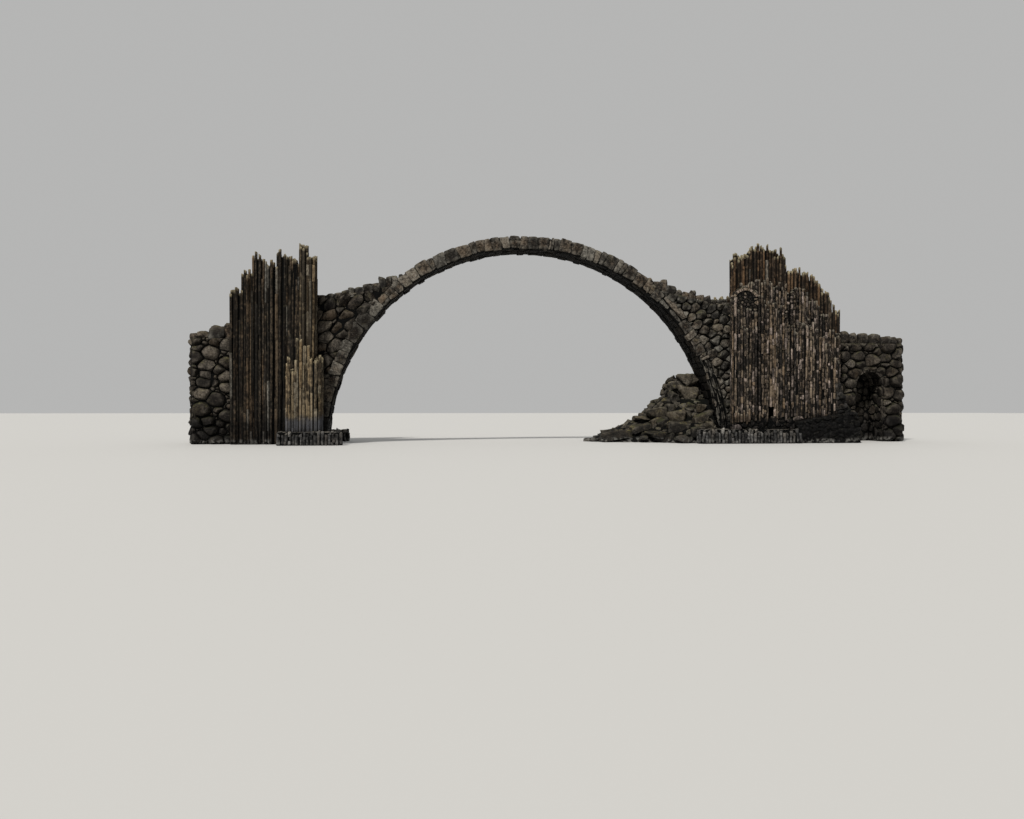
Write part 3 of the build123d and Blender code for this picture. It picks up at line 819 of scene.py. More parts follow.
def ring_stone(bag, rng, side, sign, s0, s1, r0, r1, tone, proud, shear=(0.0, 0.0), depth=0.25, level=3, **shape):
    """Stone of the arch's face between two arc lengths (metres along the ring) and two radii."""
    mid = (s0 + s1) / 2
    th = mid / 9.85
    rm = (r0 + r1) / 2
    k0, k1 = r0 / 9.85, r1 / 9.85
    poly = [((s0 - mid) * k0 + shear[0], r0 - rm), ((s1 - mid) * k0 + shear[1], r0 - rm + rng.uniform(-0.02, 0.02)),
            ((s1 - mid) * k1 - shear[1], r1 - rm + rng.uniform(-0.03, 0.03)), ((s0 - mid) * k1 - shear[0], r1 - rm)]
    radial = np.array([side * math.cos(th), 0, math.sin(th)])
    along = np.array([-side * math.sin(th), 0, math.cos(th)])
    centre = np.array([0, sign * HALF_W, AZ]) + radial * rm
    style = {**dict(power=30.0, lean=(-3, 6), chops=1, tilt=0.06, amp=0.016, cut=(0.88, 1.0)), **shape}
    cell_rock(bag, poly, centre, along, radial, UY * sign, rng, tone, proud=proud, back=depth, level=3, inset=0.003, **style)


def ring_course(bag, rng, side, sign, th0, th1, top, widths, low=(9.58, 9.63), proud=(0.035, 0.09), ragged=(-0.09, 0.06), bright=0.46, pale=0.12, split=0.25):
    """One run of face stones along the ring, most of them as high as the ring."""
    s, end = math.radians(th0) * 9.85, math.radians(th1) * 9.85
    sh = rng.uniform(-0.05, 0.05)
    while s < end - 1e-6:
        w = rng.uniform(*widths)
        if s + w > end - 0.6 * widths[0]:
            w = end - s
        nxt = rng.uniform(-0.07, 0.07)
        r0 = rng.uniform(*low)
        r1 = top + rng.uniform(*ragged)
        draw = rng.random()
        if draw < split * 0.6:
            cut = rng.uniform(0.35, 0.65) * (r1 - r0) + r0
            for a, b, k in ((r0, cut, 1), (cut, r1, -1)):
                ring_stone(bag, rng, side, sign, s, s + w, a, b, tone_of(rng, bright, 0.22, 0.55, pale), rng.uniform(*proud),
                           (k * sh, k * nxt), level=2)
        elif draw < split:
            c = rng.uniform(0.35, 0.65) * w
            ring_stone(bag, rng, side, sign, s, s + c, r0, r1, tone_of(rng, bright, 0.22, 0.55, pale), rng.uniform(*proud), (sh, 0), level=2)
            ring_stone(bag, rng, side, sign, s + c, s + w, r0 + 0.02, r1 - rng.uniform(0, 0.12), tone_of(rng, bright, 0.22, 0.55, pale),
                       rng.uniform(*proud), (0, nxt), level=2)
        else:
            ring_stone(bag, rng, side, sign, s, s + w, r0, r1, tone_of(rng, bright, 0.22, 0.55, pale), rng.uniform(*proud), (sh, nxt),
                       level=3 if w > 0.4 else 2)
        sh = nxt
        s += w


for side, word in ((1.0, "right"), (-1.0, "left")):
    rng = gen(100 if side > 0 else 101)
    bag = Bag()
    for sign in (-1.0, 1.0):
        if side > 0:
            # narrow shafts that lean along the foot of the right side
            lanes = [9.60, 9.70, 9.80, 9.91, 10.02, 10.12]
            for ra, rb in zip(lanes[:-1], lanes[1:]):
                s = 0.0
                stop = math.radians(rng.uniform(23.5, 27.5)) * 9.85
                while s < stop:
                    w = min(rng.uniform(0.35, 1.3), stop - s + 0.02)
                    ring_stone(bag, rng, side, sign, s, s + w, ra + rng.uniform(-0.012, 0.012), rb + rng.uniform(-0.012, 0.012),
                               tone_of(rng, 0.40, 0.24, 0.4, 0.16), rng.uniform(-0.01, 0.10), level=2, power=12.0, chops=2, tilt=0.08,
                               amp=0.01)
                    s += w
            ring_course(bag, rng, side, sign, 25.5, 38.6, 10.12, (0.26, 0.6), low=(9.56, 9.63), proud=(0.02, 0.12), pale=0.14)
            # one long slab lies along the ring here with a thin stone under it
            a, b = math.radians(38.6) * 9.85, math.radians(47.4) * 9.85
            ring_stone(bag, rng, side, sign, a, b, 9.86, 10.2, (0.72, 0.7, 0.3, 0.0), 0.10, (0.05, -0.05), chops=2, tilt=0.1)
            m = (a + b) / 2 + 0.1
            ring_stone(bag, rng, side, sign, a, m, 9.66, 9.855, tone_of(rng, 0.25), 0.03, level=2)
            ring_stone(bag, rng, side, sign, m, b, 9.66, 9.855, tone_of(rng, 0.3), 0.02, level=2)
            ring_course(bag, rng, side, sign, 47.4, TH_H, 10.14, (0.28, 0.6), low=(9.58, 9.64))
        else:
            ring_course(bag, rng, side, sign, 0.0, 44.0, 10.22, (0.45, 0.9), low=(9.52, 9.64), proud=(0.02, 0.16), bright=0.42, split=0.2)
            ring_course(bag, rng, side, sign, 44.0, TH_H, 10.18, (0.3, 0.65), low=(9.55, 9.62), proud=(0.02, 0.10), bright=0.44)
    bag.build("arch_face_stones_" + word, M_RING, "ring_stone", seed=3)
    # soffit, its stones in a material painted near black for the shade under the arch
    bag = Bag()
    th = -0.6
    while th < 90.0:
        w = math.degrees(rng.uniform(0.26, 0.5)) / 9.6
        ys = [-0.80, -0.27 + rng.uniform(-0.1, 0.1), 0.27 + rng.uniform(-0.1, 0.1), 0.80]
        for k in range(3):
            arc_block(bag, th + 0.06, min(th + w, 90.0) - 0.06, 9.565 + rng.uniform(-0.04, 0.03), 9.9, ys[k] + 0.008, ys[k + 1] - 0.008,
                      rng, tone_of(rng, 0.4, 0.25, 0.5, 0.04), template=CUBE3, chops=3, amp=0.016, side=side)
        th += w
    bag.build("arch_soffit_stones_" + word, M_SOFFIT, "ring_stone", seed=3)

    for tag, sign in (("front", -1.0), ("back", 1.0)):
        rng = gen(110 + int(side > 0) + 2 * int(sign > 0))
        bag = Bag()
        # over the arch the edge stones run through the whole height of the ring
        ring_course(bag, rng, side, sign, TH_H, 90.0, R_KERB, (0.24, 0.66), bright=0.52, pale=0.14, split=0.05, proud=(0.035, 0.09), ragged=(-0.035, 0.03))
        # over the rubble they are loose boulders
        x = HAUNCH_X - 0.35
        while x < PIER_X + 0.2:
            w = rng.uniform(0.26, 0.5)
            top = interp(TOP_RIGHT, x + w / 2) + rng.uniform(-0.07, 0.08)
            foot = 7.53 + (x + w / 2 - HAUNCH_X) / (PIER_X - HAUNCH_X) * (6.8 - 7.53) - 0.14
            rock(bag, (side * (x + w / 2), sign * 0.755, (top + foot) / 2), (w * 0.68, 0.2, (top - foot) * 0.57), rng,
                 tone_of(rng, 0.46, 0.24, 0.5, 0.12), rot=rotation(rng, 10, 5), power=12, amp=0.022, level=3, planes=8, boxy=0.85)
            x += w * 0.9
        # low parapet of boulders on the wing
        end, far = (PIER_END_R, END_R) if side > 0 else (PIER_END_L, END_L)
        x = end - 0.2
        while x < far - 0.1:
            w = rng.uniform(0.42, 0.85)
            if x + w > far:
                w = far - x + 0.05
            crest = 5.56 - (x - end) / max(far - end, 0.1) * 0.42 + rng.uniform(-0.1, 0.1)
            rock(bag, (side * (x + w / 2), sign * 0.775, (crest + 4.86) / 2), (w * 0.62, 0.25, (crest - 4.86) * 0.66), rng,
                 tone_of(rng, 0.48, 0.2, 0.5, 0.12), rot=rotation(rng, 10, 10), power=14, amp=0.026, boxy=0.3)
            x += w * 0.92
        bag.build("edge_stones_" + tag + "_" + word, M_RING, "kerb_stone", ("kerb_" + tag + "_" + word,), seed=5)

# ---------------------------------------------------------------- paving and treads
rng = gen(130)
bag = Bag()
th_a = ang_at(R_PAVE, PAVE_X)
th = th_a
while th < 180 - th_a - 0.2:
    w = math.degrees(rng.uniform(0.3, 0.5)) / R_PAVE
    if th + w > 180 - th_a - 1.2:
        w = 180 - th_a - th
    ys = [-0.64, rng.uniform(-0.3, -0.12), rng.uniform(0.12, 0.3), 0.64]
    for k in range(3):
        arc_block(bag, th + 0.05, th + w - 0.05, 9.98, R_PAVE + rng.uniform(-0.012, 0.012), ys[k] + 0.008, ys[k + 1] - 0.008, rng,
                  tone_of(rng, 0.5, 0.16, 0.5, 0.05), template=CUBE3, chops=1, amp=0.006)
    th += w
bag.build("crown_paving_stones", M_TREAD, "paving_stone", ("crown_paving",), seed=7)

z_first, z_land = z_at(R_STEP, PAVE_X), z_at(R_STEP, HAUNCH_X)
rise = (z_first - z_land) / ARCH_TREADS


def levels(end):
    out = []
    for i in range(SPAN_TREADS):
        d = (PIER_X - HAUNCH_X) / SPAN_TREADS
        out.append((HAUNCH_X + d * i, HAUNCH_X + d * (i + 1), z_land + (PIER_TOP - z_land) * i / SPAN_TREADS))
    for i in range(PIER_TREADS):
        d = (end - PIER_X) / PIER_TREADS
        out.append((PIER_X + d * i, PIER_X + d * (i + 1), PIER_TOP + (PATH_Z - PIER_TOP) * i / PIER_TREADS))
    return out


for side, word, end in ((1.0, "right", PIER_END_R), (-1.0, "left", PIER_END_L)):
    rng = gen(140 + int(side > 0))
    bag = Bag()
    for i in range(ARCH_TREADS):
        z = z_first - rise * i
        xa, xb = x_at(R_STEP, z), x_at(R_STEP, z - rise)
        cut = rng.uniform(-0.2, 0.2)
        for y0, y1 in ((-0.64, cut - 0.006), (cut + 0.006, 0.64)):
            a, b = sorted((side * (xa - 0.03), side * (xb - 0.01)))
            box_block(bag, a, b, y0, y1, z - 0.24, z + rng.uniform(-0.008, 0.008), rng, tone_of(rng, 0.5, 0.15, 0.5, 0.06), chops=1, amp=0.008,
                      chamfer=0.06)
    bag.build("arch_tread_stones_" + word, M_TREAD, "tread_stone", ("arch_steps_" + word,), seed=7)
    bag = Bag()
    for i, (x0, x1, z) in enumerate(levels(end)):
        half = KERB_IN - 0.015 if i < SPAN_TREADS else CORE_Y - 0.01
        n = 2 if i < SPAN_TREADS else 3
        cuts = [-half] + sorted(rng.uniform(-0.12, 0.12) + half * (2 * (k + 1) / n - 1) for k in range(n - 1)) + [half]
        for k in range(n):
            a, b = sorted((side * (x0 + 0.004), side * (x1 - 0.01)))
            box_block(bag, a, b, cuts[k] + 0.006, cuts[k + 1] - 0.006, z - 0.16, z + rng.uniform(-0.008, 0.008), rng,
                      tone_of(rng, 0.5, 0.15, 0.5, 0.06), chops=1, amp=0.008, chamfer=0.05)
    bag.build("approach_tread_stones_" + word, M_TREAD, "tread_stone", (word + "_approach_steps",), seed=7)


# ---------------------------------------------------------------- rubble between the arch and the columns
def spandrel(side, word, right_edge, sizes, proud, shape, mat, seed, tag, sign, bright, fixed=(), coarse=0.0):
    rng = gen(seed)
    bag = Bag()

    def top(x):
        return 7.53 + (x - HAUNCH_X) / (PIER_X - HAUNCH_X) * (6.83 - 7.53) if x < PIER_X else 6.86

    def inside(x, z, r):
        if x > right_edge - 0.4 * r or z < 0.1 or z > top(x) - 0.3 * r:
            return False
        return math.hypot(x, z - AZ) > R_RING + 0.05 + 0.35 * r

    def limits(x, z):
        e = math.hypot(x, z - AZ)
        ex, ez = x / e, (z - AZ) / e
        out = [(-ex, -ez, -(R_RING + 0.035) - ez * AZ), (1.0, 0.0, right_edge), (0.0, -1.0, 0.0)]
        s = (6.83 - 7.53) / (PIER_X - HAUNCH_X) if x < PIER_X else 0.0
        out.append((-s, 1.0, top(x) - s * x + 0.05))
        return out

    def place(x, z):
        y = SPAN_Y + (CORE_Y - SPAN_Y) * min(1.0, max(0.0, (x - 9.35) / 0.4))
        return (np.array([0, sign * y, 0]), UX * side, UZ, UY * sign)

    rubble(bag, (6.0, right_edge, 0.0, 7.7), inside, sizes, limits, rng, place, proud, bright=bright, brown=0.45, pale=0.16,
           spread=0.32, fixed=fixed, coarse=coarse, tight=0.64,
           grain=(28.0, 1.12) if side > 0 else (-38.0, 1.25), **shape)
    bag.build("rubble_" + word + "_" + tag, mat, "rubble_stone", seed=9)


NAMED_R = [(9.25, 3.38, 0.36, (0.5, 0.95, 0.05, 0)), (9.55, 2.98, 0.27, (0.72, 0.25, 0.3, 0)), (9.95, 3.25, 0.25, (0.62, 0.5, 0.15, 0)),
           (9.7, 2.36, 0.3, (0.7, 0.3, 0.5, 0)), (9.75, 1.5, 0.3, (0.35, 0.4, 0.0, 0)), (9.8, 0.9, 0.26, (0.3, 0.4, 0.0, 0))]
for tag, sign in (("front", -1.0), ("back", 1.0)):
    spandrel(1.0, "right", 10.22, (0.10, 0.31, 1.1), (0.04, 0.20), ANGULAR, M_RUBBLE_R, 150 + int(sign > 0), tag, sign, 0.44, fixed=NAMED_R)
    spandrel(-1.0, "left", 10.12 if sign < 0 else 10.47, (0.13, 0.42, 1.0), (0.02, 0.22), BROKEN, M_RUBBLE_L, 160 + int(sign > 0), tag,
             sign, 0.40)


# ---------------------------------------------------------------- right-hand column walls
def tip_table(table, low=0.42):
    """Where a measured tip is near it counts, elsewhere the column is somewhat shorter."""
    def f(x, top, rng):
        near = min(abs(x - q[0]) for q in table)
        z = interp(table, x)
        return z if near < 0.065 else z - rng.uniform(0.04, low)
    return f


def tip_top(x, top, rng):
    return top + rng.uniform(0.03, 0.42)


def pier_level(x, end):
    if x < PIER_X:
        return PIER_TOP
    return PIER_TOP + (PATH_Z - PIER_TOP) * min(PIER_TREADS, int((x - PIER_X) / ((end - PIER_X) / PIER_TREADS)) + 1) / PIER_TREADS


def patchy(x, z):
    """Lengths of the front rows: short broken ones, and a patch of very short ones high up."""
    if 12.2 < x < 13.2 and 5.3 < z < 7.3:
        return (0.07, 0.20)
    return (0.11, 0.62)


def niche_skip(x, y, z0, z1):
    if NICHE[0] - 0.02 < x < NICHE[1] + 0.03 and y > 2.3 and z0 < NICHE[3]:
        return [(NICHE[3] + 0.01, z1)]
    return None


def flat_cells(bag, box, inside, sizes, z, rng, proud=(0.02, 0.05), bright=0.4, pale=0.25, limits=None):
    rubble(bag, box, inside, sizes, limits or (lambda x, y: []), rng, lambda x, y: (np.array([0, 0, z]), UX, UY, UZ), proud,
           bright=bright, pale=pale, brown=0.35, power=14.0, chops=1, tilt=0.06, amp=0.01, coarse=9.0)


for tag, sign in (("front", -1.0), ("back", 1.0)):
    front = sign < 0
    low = (lambda rows: rows) if front else (lambda rows: [(a, b, min(t, 7.15) if a < 10.96 else t) for a, b, t in rows])
    rc, rb = low(RIGHT_C), low(RIGHT_B)
    # rear row: tall smooth shafts
    rng = gen(170 + int(sign > 0))
    cols = Columns()
    column_row(cols, rc, 0.95, 1.5, sign, 1.0, rng,
               base=lambda x, rb=rb: max(0.0, top_of(rb, x, 0.2) - 0.15) if x < 15.3 else 0.0,
               tip=tip_table(TIPS_C, 0.5) if front else tip_top, seg=(0.7, 2.4), inner=lambda x: pier_level(x, PIER_END_R) - 0.12,
               step=0.15, r=0.068, style=dict(bright=0.52, spread=0.2, brown=0.72, pale=0.05, lean=0.004), jitter=0.03, deep=-0.004)
    bag = Bag()
    cols.into(bag, rng)
    bag.build("columns_rear_" + tag, M_REAR, "column_dark", seed=11, angle=30)
    # middle row
    rng = gen(180 + int(sign > 0))
    cols = Columns()

    def base_b(x):
        if x < 10.92:
            return 6.3
        if x > 15.0:
            return 0.3
        return max(0.3, top_of(RIGHT_A, x, 0.2) - 0.15)

    column_row(cols, rb, 1.5, 2.03, sign, 1.0, rng, base=base_b, tip=tip_table(TIPS_B) if front else tip_top, seg=patchy,
               step=0.128, r=0.062,
               style=dict(bright=0.47, spread=0.22, brown=0.55, pale=0.15, lean=0.004, step_out=0.03, vary=0.18), jitter=0.028, deep=-0.004)
    bag = Bag()
    cols.into(bag, rng)
    bag.build("columns_middle_" + tag, M_FRONT, "column_mixed", seed=11, angle=30)
    # front row
    rng = gen(190 + int(sign > 0))
    cols = Columns()
    column_row(cols, RIGHT_A, 2.03, 2.5, sign, 1.0, rng, base=lambda x, rng=rng: rng.uniform(0.98, 1.36),
               tip=tip_table(TIPS_A, 0.5) if front else tip_top, seg=patchy, skip=niche_skip, low_in=0.35, ends=(False, True),
               step=0.128, r=0.062, style=dict(bright=0.46, spread=0.22, brown=0.5, pale=0.17, lean=0.005, step_out=0.03, vary=0.18), jitter=0.028, deep=-0.004)
    bag = Bag()
    cols.into(bag, rng)
    bag.build("columns_front_" + tag, M_FRONT, "column_mixed", seed=11, angle=30)
    # round-headed buttress: shafts, a fill of small rubble and a rim of thin stones set on edge
    rng = gen(200 + int(sign > 0))
    bag = Bag()
    cols = Columns()
    bx0, bx1, bs, bz = BASTION
    n = 8
    for i in range(n):
        x = bx0 + 0.02 + (i + 0.5) / n * (bx1 - bx0 - 0.02)
        if i == 0:
            cols.column(x, sign * 2.52, rng.uniform(1.0, 1.3), 7.02, rng, r=0.078, seg=(0.25, 0.9), bright=0.78, spread=0.1, brown=0.5, pale=0.5,
                        step_out=0.02, out=(0, sign), vary=0.12)
            continue
        # a break part of the way up, the upper shafts set back a little
        cut = 5.55 + rng.uniform(-0.12, 0.12)
        cols.column(x, sign * (2.53 + rng.uniform(-0.015, 0.02)), cut - 0.05, 6.3 + rng.uniform(0, 0.3), rng, seg=(0.2, 0.7), bright=0.5, spread=0.2,
                    brown=0.6, pale=0.12, step_out=0.02, out=(0, sign), vary=0.15)
        cols.column(x + rng.normal(0, 0.01), sign * (2.56 + rng.uniform(-0.02, 0.02)), rng.uniform(1.0, 1.35), cut, rng, seg=(0.12, 0.7), bright=0.44,
                    spread=0.2, brown=0.5, pale=0.14, step_out=0.025, out=(0, sign), vary=0.17)
    for i in range(3):
        cols.column(bx0 + 0.03, sign * (2.1 + i * 0.15), 0.5, 6.98, rng, seg=(0.2, 0.9), bright=0.42, brown=0.5, pale=0.12)
        cols.column(bx1 - 0.03, sign * (2.1 + i * 0.15), 6.3, 6.98, rng, seg=(0.2, 0.9), bright=0.42, brown=0.5, pale=0.12)
    for i in range(6):
        cols.column(9.84 + 0.135 * i + rng.normal(0, 0.01), sign * (2.62 + rng.normal(0, 0.01)), rng.uniform(0.9, 1.05), rng.uniform(1.35, 1.85), rng,
                    r=0.058, seg=(0.3, 0.9), bright=0.9, spread=0.08, brown=0.95, pale=0.0, vary=0.08)
    cols.into(bag, rng)
    half, rise_b = (bx1 - bx0) / 2, bz - bs
    rr = (half * half + rise_b * rise_b) / (2 * rise_b)
    hx, hz = bx0 + half, bz - rr

    def in_head(x, z, r):
        return z > 6.4 and math.hypot(x - hx, z - hz) < rr - 0.06 and bx0 + 0.1 < x < bx1 - 0.06

    rubble(bag, (bx0, bx1, 6.35, bz), in_head, (0.05, 0.10, 1.0), lambda x, z: [(0, -1, -6.36)], rng,
           lambda x, z: (np.array([0, sign * 2.52, 0]), UX, UZ, UY * sign), (0.02, 0.06), bright=0.26, pale=0.05, brown=0.3, power=24.0, amp=0.006)
    t = 24.0
    while t < 156:
        w = rng.uniform(8, 13)
        y0, y1 = sorted((sign * 2.06, sign * (2.575 + rng.uniform(0, 0.03))))
        arc_block(bag, t + 0.5, min(t + w, 157) - 0.5, rr - 0.07, rr + 0.05 + rng.uniform(-0.01, 0.02), y0, y1, rng,
                  tone_of(rng, 0.85, 0.12, 0.3, 0.8), cx=hx, cz=hz, amp=0.006, chops=1)
        t += w

    # dark course along the foot of the wall, open under the recess
    def foot_limits(x, z):
        out = [(-1, 0, -9.76), (0, 1, 1.22 + 0.1 * math.sin(x * 5.0)), (0, -1, -0.6)]
        return out + ([(1, 0, 11.49)] if x < 11.55 else [(-1, 0, -11.64)])

    rubble(bag, (9.76, 13.0, 0.62, 1.28), lambda x, z, r: not (11.45 < x < 11.64), (0.09, 0.26, 1.0), foot_limits, rng,
           lambda x, z: (np.array([0, sign * (2.54 if x < 10.92 else 2.47), 0]), UX, UZ, UY * sign), (0.02, 0.07), bright=0.16,
           spread=0.12, pale=0.04, brown=0.3, power=14.0, chops=2, tilt=0.15, amp=0.012)
    bag.build("buttress_stones_" + tag, M_FRONT, "bastion_stone", seed=11, angle=30)

# ---------------------------------------------------------------- left-hand column walls
for tag, sign in (("front", -1.0), ("back", 1.0)):
    shift = 0.35 if sign > 0 else 0.0
    pil = [(a + shift, b + shift, t) for a, b, t in PIL_TOP]
    low = [(a + shift, b + shift, t) for a, b, t in PIL_LOW]
    scr = [(max(a, pil[-1][1]), b, t) for a, b, t in SCREEN if b > pil[-1][1] + 0.2]
    # the recessed screen takes the shaded copy of the column stone; the pilaster and skirt take the lit copy
    rng = gen(210 + int(sign > 0))
    cols = Columns()
    column_row(cols, scr, 0.95, 1.5, sign, -1.0, rng, base=lambda x: 0.0, tip=tip_top, seg=(0.6, 2.4),
               inner=lambda x: pier_level(x, PIER_END_L) - 0.12, ends=(False, True), step=0.15, r=0.068, jitter=0.03, deep=-0.004,
               style=dict(bright=0.44, spread=0.24, brown=0.6, pale=0.08, lean=0.004))
    bag = Bag()
    cols.into(bag, rng)
    bag.build("columns_screen_" + tag, M_DARK, "column_dark", seed=11, angle=30)
    rng = gen(220 + int(sign > 0))
    cols = Columns()
    column_row(cols, pil, 0.95, 1.9, sign, -1.0, rng, base=lambda x, low=low: top_of(low, x, 0.15) - 0.2, tip=tip_top, seg=(0.5, 2.2),
               r=0.074, step=0.148, inner=lambda x: pier_level(x, PIER_END_L) - 0.12, low_in=0.0, jitter=0.03, deep=-0.004,
               style=dict(bright=0.22, spread=0.2, brown=0.5, pale=0.08, lean=0.004, vary=0.14))
    bag = Bag()
    cols.into(bag, rng)
    bag.build("columns_pilaster_" + tag, M_LIGHT, "column_light", seed=11, angle=30)
    rng = gen(230 + int(sign > 0))
    cols = Columns()
    column_row(cols, low, 1.3, 2.4, sign, -1.0, rng, base=lambda x: 0.35, tip=lambda x, top, rng: top + rng.uniform(0.03, 0.9),
               seg=(0.25, 1.7), r=0.074, step=0.146, low_in=0.35, jitter=0.03, deep=-0.004,
               style=dict(bright=0.66, spread=0.2, brown=0.45, pale=0.2, lean=0.006, vary=0.16))
    bag = Bag()
    cols.into(bag, rng)
    bag.build("columns_skirt_" + tag, M_LIGHT, "column_light", seed=11, angle=30)


# ---------------------------------------------------------------- low ledges round the feet
def ledge(side, outline, top, seed, extra=()):
    """Short rough shafts standing along the outline (x, y pairs, open line)."""
    rng = gen(seed)
    bag = Bag()
    cols = Columns()
    for (xa, ya), (xb, yb) in zip(outline[:-1], outline[1:]):
        d = math.hypot(xb - xa, yb - ya)
        n = max(1, int(d / 0.155))
        nx, ny = (yb - ya) / d, -(xb - xa) / d
        for i in range(n):
            t = (i + 0.5) / n
            inn = 0.035 + abs(rng.normal(0, 0.02))
            x, y = xa + (xb - xa) * t - nx * inn, ya + (yb - ya) * t - ny * inn
            cols.column(side * x, y, 0.0, top + rng.uniform(-0.13, 0.10), rng, r=0.085, seg=(0.12, 0.5), bright=0.36, spread=0.2, brown=0.35,
                        pale=0.26, lean=0.02, tipped=False, vary=0.16, wander=0.015)
    for x, y in extra:
        cols.column(side * x, y, 0.0, top + rng.uniform(-0.05, 0.05), rng, r=0.085, seg=(0.12, 0.5), bright=0.36, pale=0.15, brown=0.35, tipped=False)
    cols.into(bag, rng)
    return bag, rng


right_line = [(12.95, -3.0), (8.0, -3.0), (8.0, -2.54), (9.0, -2.54), (9.0, 2.54), (8.0, 2.54), (8.0, 3.0), (12.95, 3.0)]
bag, rng = ledge(1.0, right_line, 0.62, 240)
flat_cells(bag, (8.02, 12.93, -2.97, -2.5), lambda x, y, r: True, (0.10, 0.26, 1.0), 0.63, rng, bright=0.5, pale=0.3,
           limits=lambda x, y: [(-1, 0, -8.0), (1, 0, 12.95), (0, -1, 2.98)])
flat_cells(bag, (8.02, 12.93, 2.5, 2.97), lambda x, y, r: True, (0.10, 0.26, 1.0), 0.63, rng, bright=0.5, pale=0.3,
           limits=lambda x, y: [(-1, 0, -8.0), (1, 0, 12.95), (0, 1, 2.98)])
flat_cells(bag, (9.02, 9.7, -2.5, 2.5), lambda x, y, r: True, (0.10, 0.26, 1.0), 0.63, rng,
           limits=lambda x, y: [(-1, 0, -9.0)])
bag.build("ledge_stones_right", M_DAMP, "damp_stone", seed=13, angle=30)

left_line = [(11.6, -3.0), (8.89, -3.0), (8.89, -2.41), (9.35, -2.41), (9.35, 2.41), (8.89, 2.41), (8.89, 3.0), (11.6, 3.0), (11.6, 1.6)]
bag, rng = ledge(-1.0, left_line, 0.55, 241, [(11.57, -3.0 + (i + 0.5) * 0.155) for i in range(9)])
for y0, y1, lim in ((-2.97, -2.4, (0, -1, 2.98)), (2.4, 2.97, (0, 1, 2.98))):
    flat_cells(bag, (-11.58, -8.92, y0, y1), lambda x, y, r: True, (0.10, 0.26, 1.0), 0.56, rng, pale=0.4, bright=0.5,
               limits=lambda x, y, lim=lim: [(-1, 0, 11.6), (1, 0, -8.89), lim])
flat_cells(bag, (-9.75, -9.37, -2.4, 2.4), lambda x, y, r: True, (0.10, 0.22, 1.0), 0.56, rng, pale=0.35,
           limits=lambda x, y: [(1, 0, -9.35)])
bag.build("ledge_stones_left", M_DAMP, "damp_stone", seed=13, angle=30)

# rough footing at the outer corners of the right pier
rng = gen(250)
bag = Bag()
WRAP = ([0, 0.77, 1.42, 2.13, 2.9], [16.2, 15.98, 15.7, 15.33, 15.13])


def foot_top(x):
    return float(np.interp(x, [12.95, 14.5, 15.75, 15.9], [1.0, 1.25, 1.45, 0.2]))


for sign in (-1.0, 1.0):
    for _ in range(210):
        x = rng.uniform(12.9, 15.85)
        z = rng.uniform(0.05, max(0.1, foot_top(x)))
        s = rng.uniform(0.09, 0.2)
        rock(bag, (x, sign * (2.86 - 0.35 * s), z), (s * 1.3, s * 0.8, s * 0.85), rng, tone_of(rng, 0.20, 0.16, 0.45, 0.08), level=2,
             planes=9, rot=rotation(rng, 25, 20), amp=0.012, power=16)
    for _ in range(130):
        x, y = rng.uniform(12.95, 15.8), rng.uniform(2.5, 2.86)
        s = rng.uniform(0.09, 0.2)
        rock(bag, (x, sign * y, foot_top(x) - 0.02), (s * 1.2, s, s * 0.6), rng, tone_of(rng, 0.26, 0.18, 0.45, 0.10), level=2, planes=9,
             rot=rotation(rng, 90, 14), amp=0.012, power=16)
    for _ in range(230):
        z = rng.uniform(0.05, 2.95)
        xf = float(np.interp(z, *WRAP))
        y = rng.uniform(1.0, 2.5)
        s = rng.uniform(0.10, 0.24)
        face = rng.random() < 0.62
        p = (xf - 0.5 * s, sign * y, z) if face else (rng.uniform(15.0, max(15.05, xf - 0.3 * s)), sign * (2.5 - 0.4 * s), z)
        rock(bag, p, (s, s, s * 0.85), rng, tone_of(rng, 0.24, 0.2, 0.5, 0.10), level=2, planes=9, rot=rotation(rng, 90, 20), amp=0.012,
             power=16)
bag.build("footing_rubble", M_FOOT, "damp_stone", seed=15)


# ---------------------------------------------------------------- wings
gx0, gx1, gz = GROTTO
gc, gr = (gx0 + gx1) / 2, (gx1 - gx0) / 2


def wing_wall(bag, rng, side, x0, x1, sign, hole, sizes=(0.13, 0.44, 1.0), proud=(0.08, 0.25), fixed=()):
    def inside(x, z, r):
        if z > PATH_Z - 0.2 * r or z < 0.05:
            return False
        if hole and (gx0 - 0.3 * r < x < gx1 + 0.3 * r and z < gz or math.hypot(x - gc, z - gz) < gr + 0.3 * r and z >= gz):
            return False
        return x0 + 0.2 * r < x < x1 - 0.2 * r

    def limits(x, z):
        out = [(-1, 0, -x0), (1, 0, x1), (0, 1, PATH_Z + 0.03), (0, -1, 0.0)]
        if hole:
            if z < gz:
                out.append((1, 0, gx0) if x < gc else (-1, 0, -gx1))
            else:
                e = math.hypot(x - gc, z - gz)
                ex, ez = (x - gc) / e, (z - gz) / e
                out.append((-ex, -ez, -(gr + ex * gc + ez * gz)))
        return out

    rubble(bag, (x0, x1, 0, PATH_Z), inside, sizes, limits, rng,
           lambda x, z: (np.array([0, sign * CORE_Y, 0]), UX * side, UZ, UY * sign), proud, bright=0.44, brown=0.5, pale=0.12,
           fixed=fixed, coarse=0.2, tight=0.68, grain=(8.0, 1.14), **ROUND)


def end_wall(bag, rng, x, nn, bright=0.44, y_to=CORE_Y, z_to=PATH_Z, sizes=(0.16, 0.42, 1.0), proud=(0.08, 0.18)):
    rubble(bag, (-CORE_Y, y_to, 0, z_to), lambda y, z, r: True, sizes,
           lambda y, z: [(1, 0, y_to), (-1, 0, CORE_Y), (0, 1, z_to), (0, -1, 0)], rng,
           lambda y, z: (np.array([x, 0, 0]), UY, UZ, nn), proud, bright=bright, coarse=0.25, tight=0.68, **ROUND)


